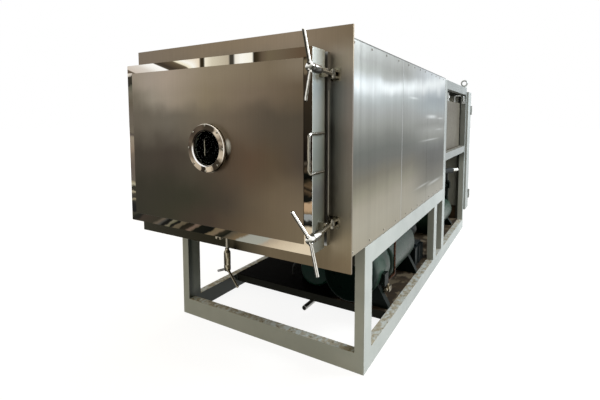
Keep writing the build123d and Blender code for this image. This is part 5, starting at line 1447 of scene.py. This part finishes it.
def finishes() -> dict[str, Material]:
    """Make the material of every slot.

    Returns:
        The material for each slot name of the record.
    """
    low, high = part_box("door_pan")
    made = (
        # satin two-pack paint over welded tube: pale grey-green, with dust trodden onto its tops, and painted
        # shade inside the frame, towards the rear and high in the rear bay
        Enamel(
            "frame_paint", "cad0ce", "c0c7c5", 0.42, shine=0.3,
            dust="ada592", dust_mm=26, dust_share=0.9, dirt="867e6b",
            inner=InnerSide("8f9794"), high="bdbdbd",
            rear_shade=(
                (0.0, "ffffff"), (0.2, "f6f6f6"), (0.6, "e9e9e9"),
                (1.1, "dadada"), (3.2, "dadada"), (3.5, "e8e8e8"),
            ),
        ),
        # primed mild-steel plate, trodden brown, with near-black painted shade at the front and away from the
        # aisle
        Enamel(
            "deck_steel", "44382a", "2b231a", 0.7, 120, shine=0.15,
            dust="5f5545", dust_share=0.3, painted_shade="0b0a08", shade_edges=(0.3, 0.46, 0.1),
        ),
        # zinc-plated fittings: pale, cloudy grey
        BrushedSteel("zinc_steel", "b9bab6", "8f918d", roughness=0.42),
        # satin stainless plate with painted reflections and shade: brown below, lighter above
        TonedSteel("mask_steel", MASK_REFLECTIONS, grain_share=0.1),
        # ground stainless sheet: fine upright lines, painted reflections and one painted gleam
        CladdingSteel("cladding_steel", CLAD_REFLECTIONS_NEAR, CLAD_REFLECTIONS_FAR, "fbfffe", "dde2e2", GLINTS, 0.67),
        # ground stainless shell: plain grey
        BrushedSteel("chamber_steel", "b5b5b1", "9a9a96", roughness=0.36),
        # buffed stainless pan: a mirror in front, satin at its sides, both with painted reflections
        DoorPanSteel(
            "door_mirror", RIM_REFLECTIONS_TOP, RIM_REFLECTIONS_BOTTOM, RIM_REFLECTIONS_LEFT, RIM_REFLECTIONS_RIGHT, PAN_SIDE_REFLECTIONS,
            tuple(low), tuple(high), 0.0455,
        ),
        # satin stainless sheet with painted reflections and shade: smooth drifts of brown, and one painted light
        # patch by the glass
        TonedSteel(
            "door_satin", DOOR_REFLECTIONS, grain_share=0.06,
            painted_light_spot=(0.152, 1.35, 0.03, 0.05), painted_light_colour="d9d8cf",
        ),
        # buffed stainless bar: painted reflections, light and dark bands along it
        PolishedSteel("polished_steel", BAR_REFLECTIONS),
        # extruded silicone: milky and soft
        SoftSkin("seal_rubber", "c9c4bb", "aaa69c", 0.6),
        # toughened borosilicate: clear and slightly green, with one painted lamp reflection
        SightGlass("sight_glass", "cfd6d0"),
        # gloss machine enamel over cast and rolled steel: cool grey-green with a painted highlight, and painted
        # shade at the front, away from the aisle and towards the rear
        Enamel(
            "machine_green", "3c5649", "334b3f", 0.3, 160, 7.0, shine=0.14, painted_glint="dfeae4",
            dust="525b52", dust_share=0.1, painted_shade="0a1a15", shade_edges=(0.3, 0.5, 0.24),
            rear_shade=((0.45, "f4f4f4"), (0.8, "b4b4b4"), (1.4, "9c9c9c"), (2.6, "c0c0c0")),
        ),
        # the same enamel on the feet, darkened to almost black as painted shade, with dust and more painted shade
        # at the front
        Enamel(
            "foot_green", "0d1714", "09110e", 0.36, 120, 7.0, shine=0.06,
            dust="2f342e", dust_share=0.2, painted_shade="07100d", shade_edges=(0.3, 0.46, 0.1),
        ),
        # darker machine enamel: deep green with a dull shine
        Enamel("dark_green", "0e3228", "09231b", 0.34, 120, 7.0, shine=0.12),
        # forged brass under a brown film
        CastBrass("valve_brass", "9a907c", "4d473a"),
        # drawn copper gone brown in the air
        CastBrass("copper_pipe", "432d22", "261a13", 0.3),
        # moulded rubber: black and dull
        SoftSkin("black_rubber", "1b1c1b", "2b2c2a"),
        # pump enamel: blue-black, dusty on top
        Enamel(
            "pump_blue", "10181a", "0a1011", 0.38, 90, 7.0, shine=0.15,
            dust="2a2f2f", dust_share=0.3,
        ),
        # painted sheet casing: warm grey
        Enamel("casing_beige", "5f5b50", "544f45", 0.5, 300, shine=0.15),
        # closed-cell foam sleeve round a cold pipe: black and pored, white past its end
        SoftSkin(
            "pipe_insulation", "1b1e1d", "2b2d28", 0.85, 5.0, 0.4, bare=(3.385, "f0f0ec")
        ),
        # fine-textured powder coat: even grey
        Enamel("cabinet_paint", "a4a8a6", "999d9b", 0.5, 350, 3.5, shine=0.3),
        # moulded switchgear cases: dark grey
        Enamel("gear_plastic", "4c5052", "3c4042", 0.5, 60, 3.0),
        # drawn stainless tube: plain grey
        BrushedSteel("coil_steel", "b4b6b6", "999c9c", Along.Y, 0.32),
    )
    return {finish.name: finish.build() for finish in made}


@dataclass
class FreezeDryer:
    """The whole machine: its CAD nodes dressed by slot, and its detailed pieces."""

    materials: dict[str, Material]
    slack_deg: float = 7.0  # the clamps on the door's side are swung off by this

    def dress(self) -> None:
        """Give every CAD node the material of its slot in the record."""
        for part in frame["record"]["subparts"]:
            node = frame["nodes"][part["node"]]
            node.data.materials.clear()
            node.data.materials.append(self.materials[part["material_slot"]])
            LOG.info("%s: %s", part["node"], part["material_slot"])

    def clamps(self) -> None:
        """Make the three sleeve nuts with their arms."""
        swung = math.radians(self.slack_deg)
        sideways = Vector((math.cos(swung), math.sin(swung), 0))
        # buffed round bar: painted reflections, silver with a dark line along its left edge
        bars = PolishedSteel("buffed_bar_steel", ARM_REFLECTIONS, wave_mm=9.0, wave_share=0.35).build()
        # buffed sleeve: painted reflections of a bright roof and a dark floor, bright above and dark below
        tubes = PolishedSteel(
            "buffed_sleeve_steel", SLEEVE_REFLECTIONS, (-0.2, 0.0, 0.98), wave_share=0.2
        ).build()
        ClampNut("upper", 160, -1.5, sideways, UP).build(tubes, bars)
        ClampNut("lower", 160, -24, sideways, UP).build(tubes, bars)
        # bottom clamp: painted reflection of the dark floor it hangs over, in brown
        low = PolishedSteel("shaded_bar_steel", LOW_REFLECTIONS, wave_mm=9.0, wave_share=0.35).build()
        ClampNut("bottom", 77, -25.7, Vector((0, 1, 0)), Vector((1, 0, 0))).build(low, low)

    def build(self) -> None:
        """Dress the CAD nodes and make every detailed piece."""
        self.dress()
        self.clamps()
        FlangeBead().build(self.materials["polished_steel"])
        SightRing().build()
        SightScrews().build(self.materials["polished_steel"])


def main() -> None:
    """Build the looks of the freeze dryer, piece by piece."""
    logging.basicConfig(level=logging.INFO, format="%(name)s %(message)s")
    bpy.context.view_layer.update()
    Studio().build()
    FreezeDryer(finishes()).build()


if __name__ == "__main__":
    main()
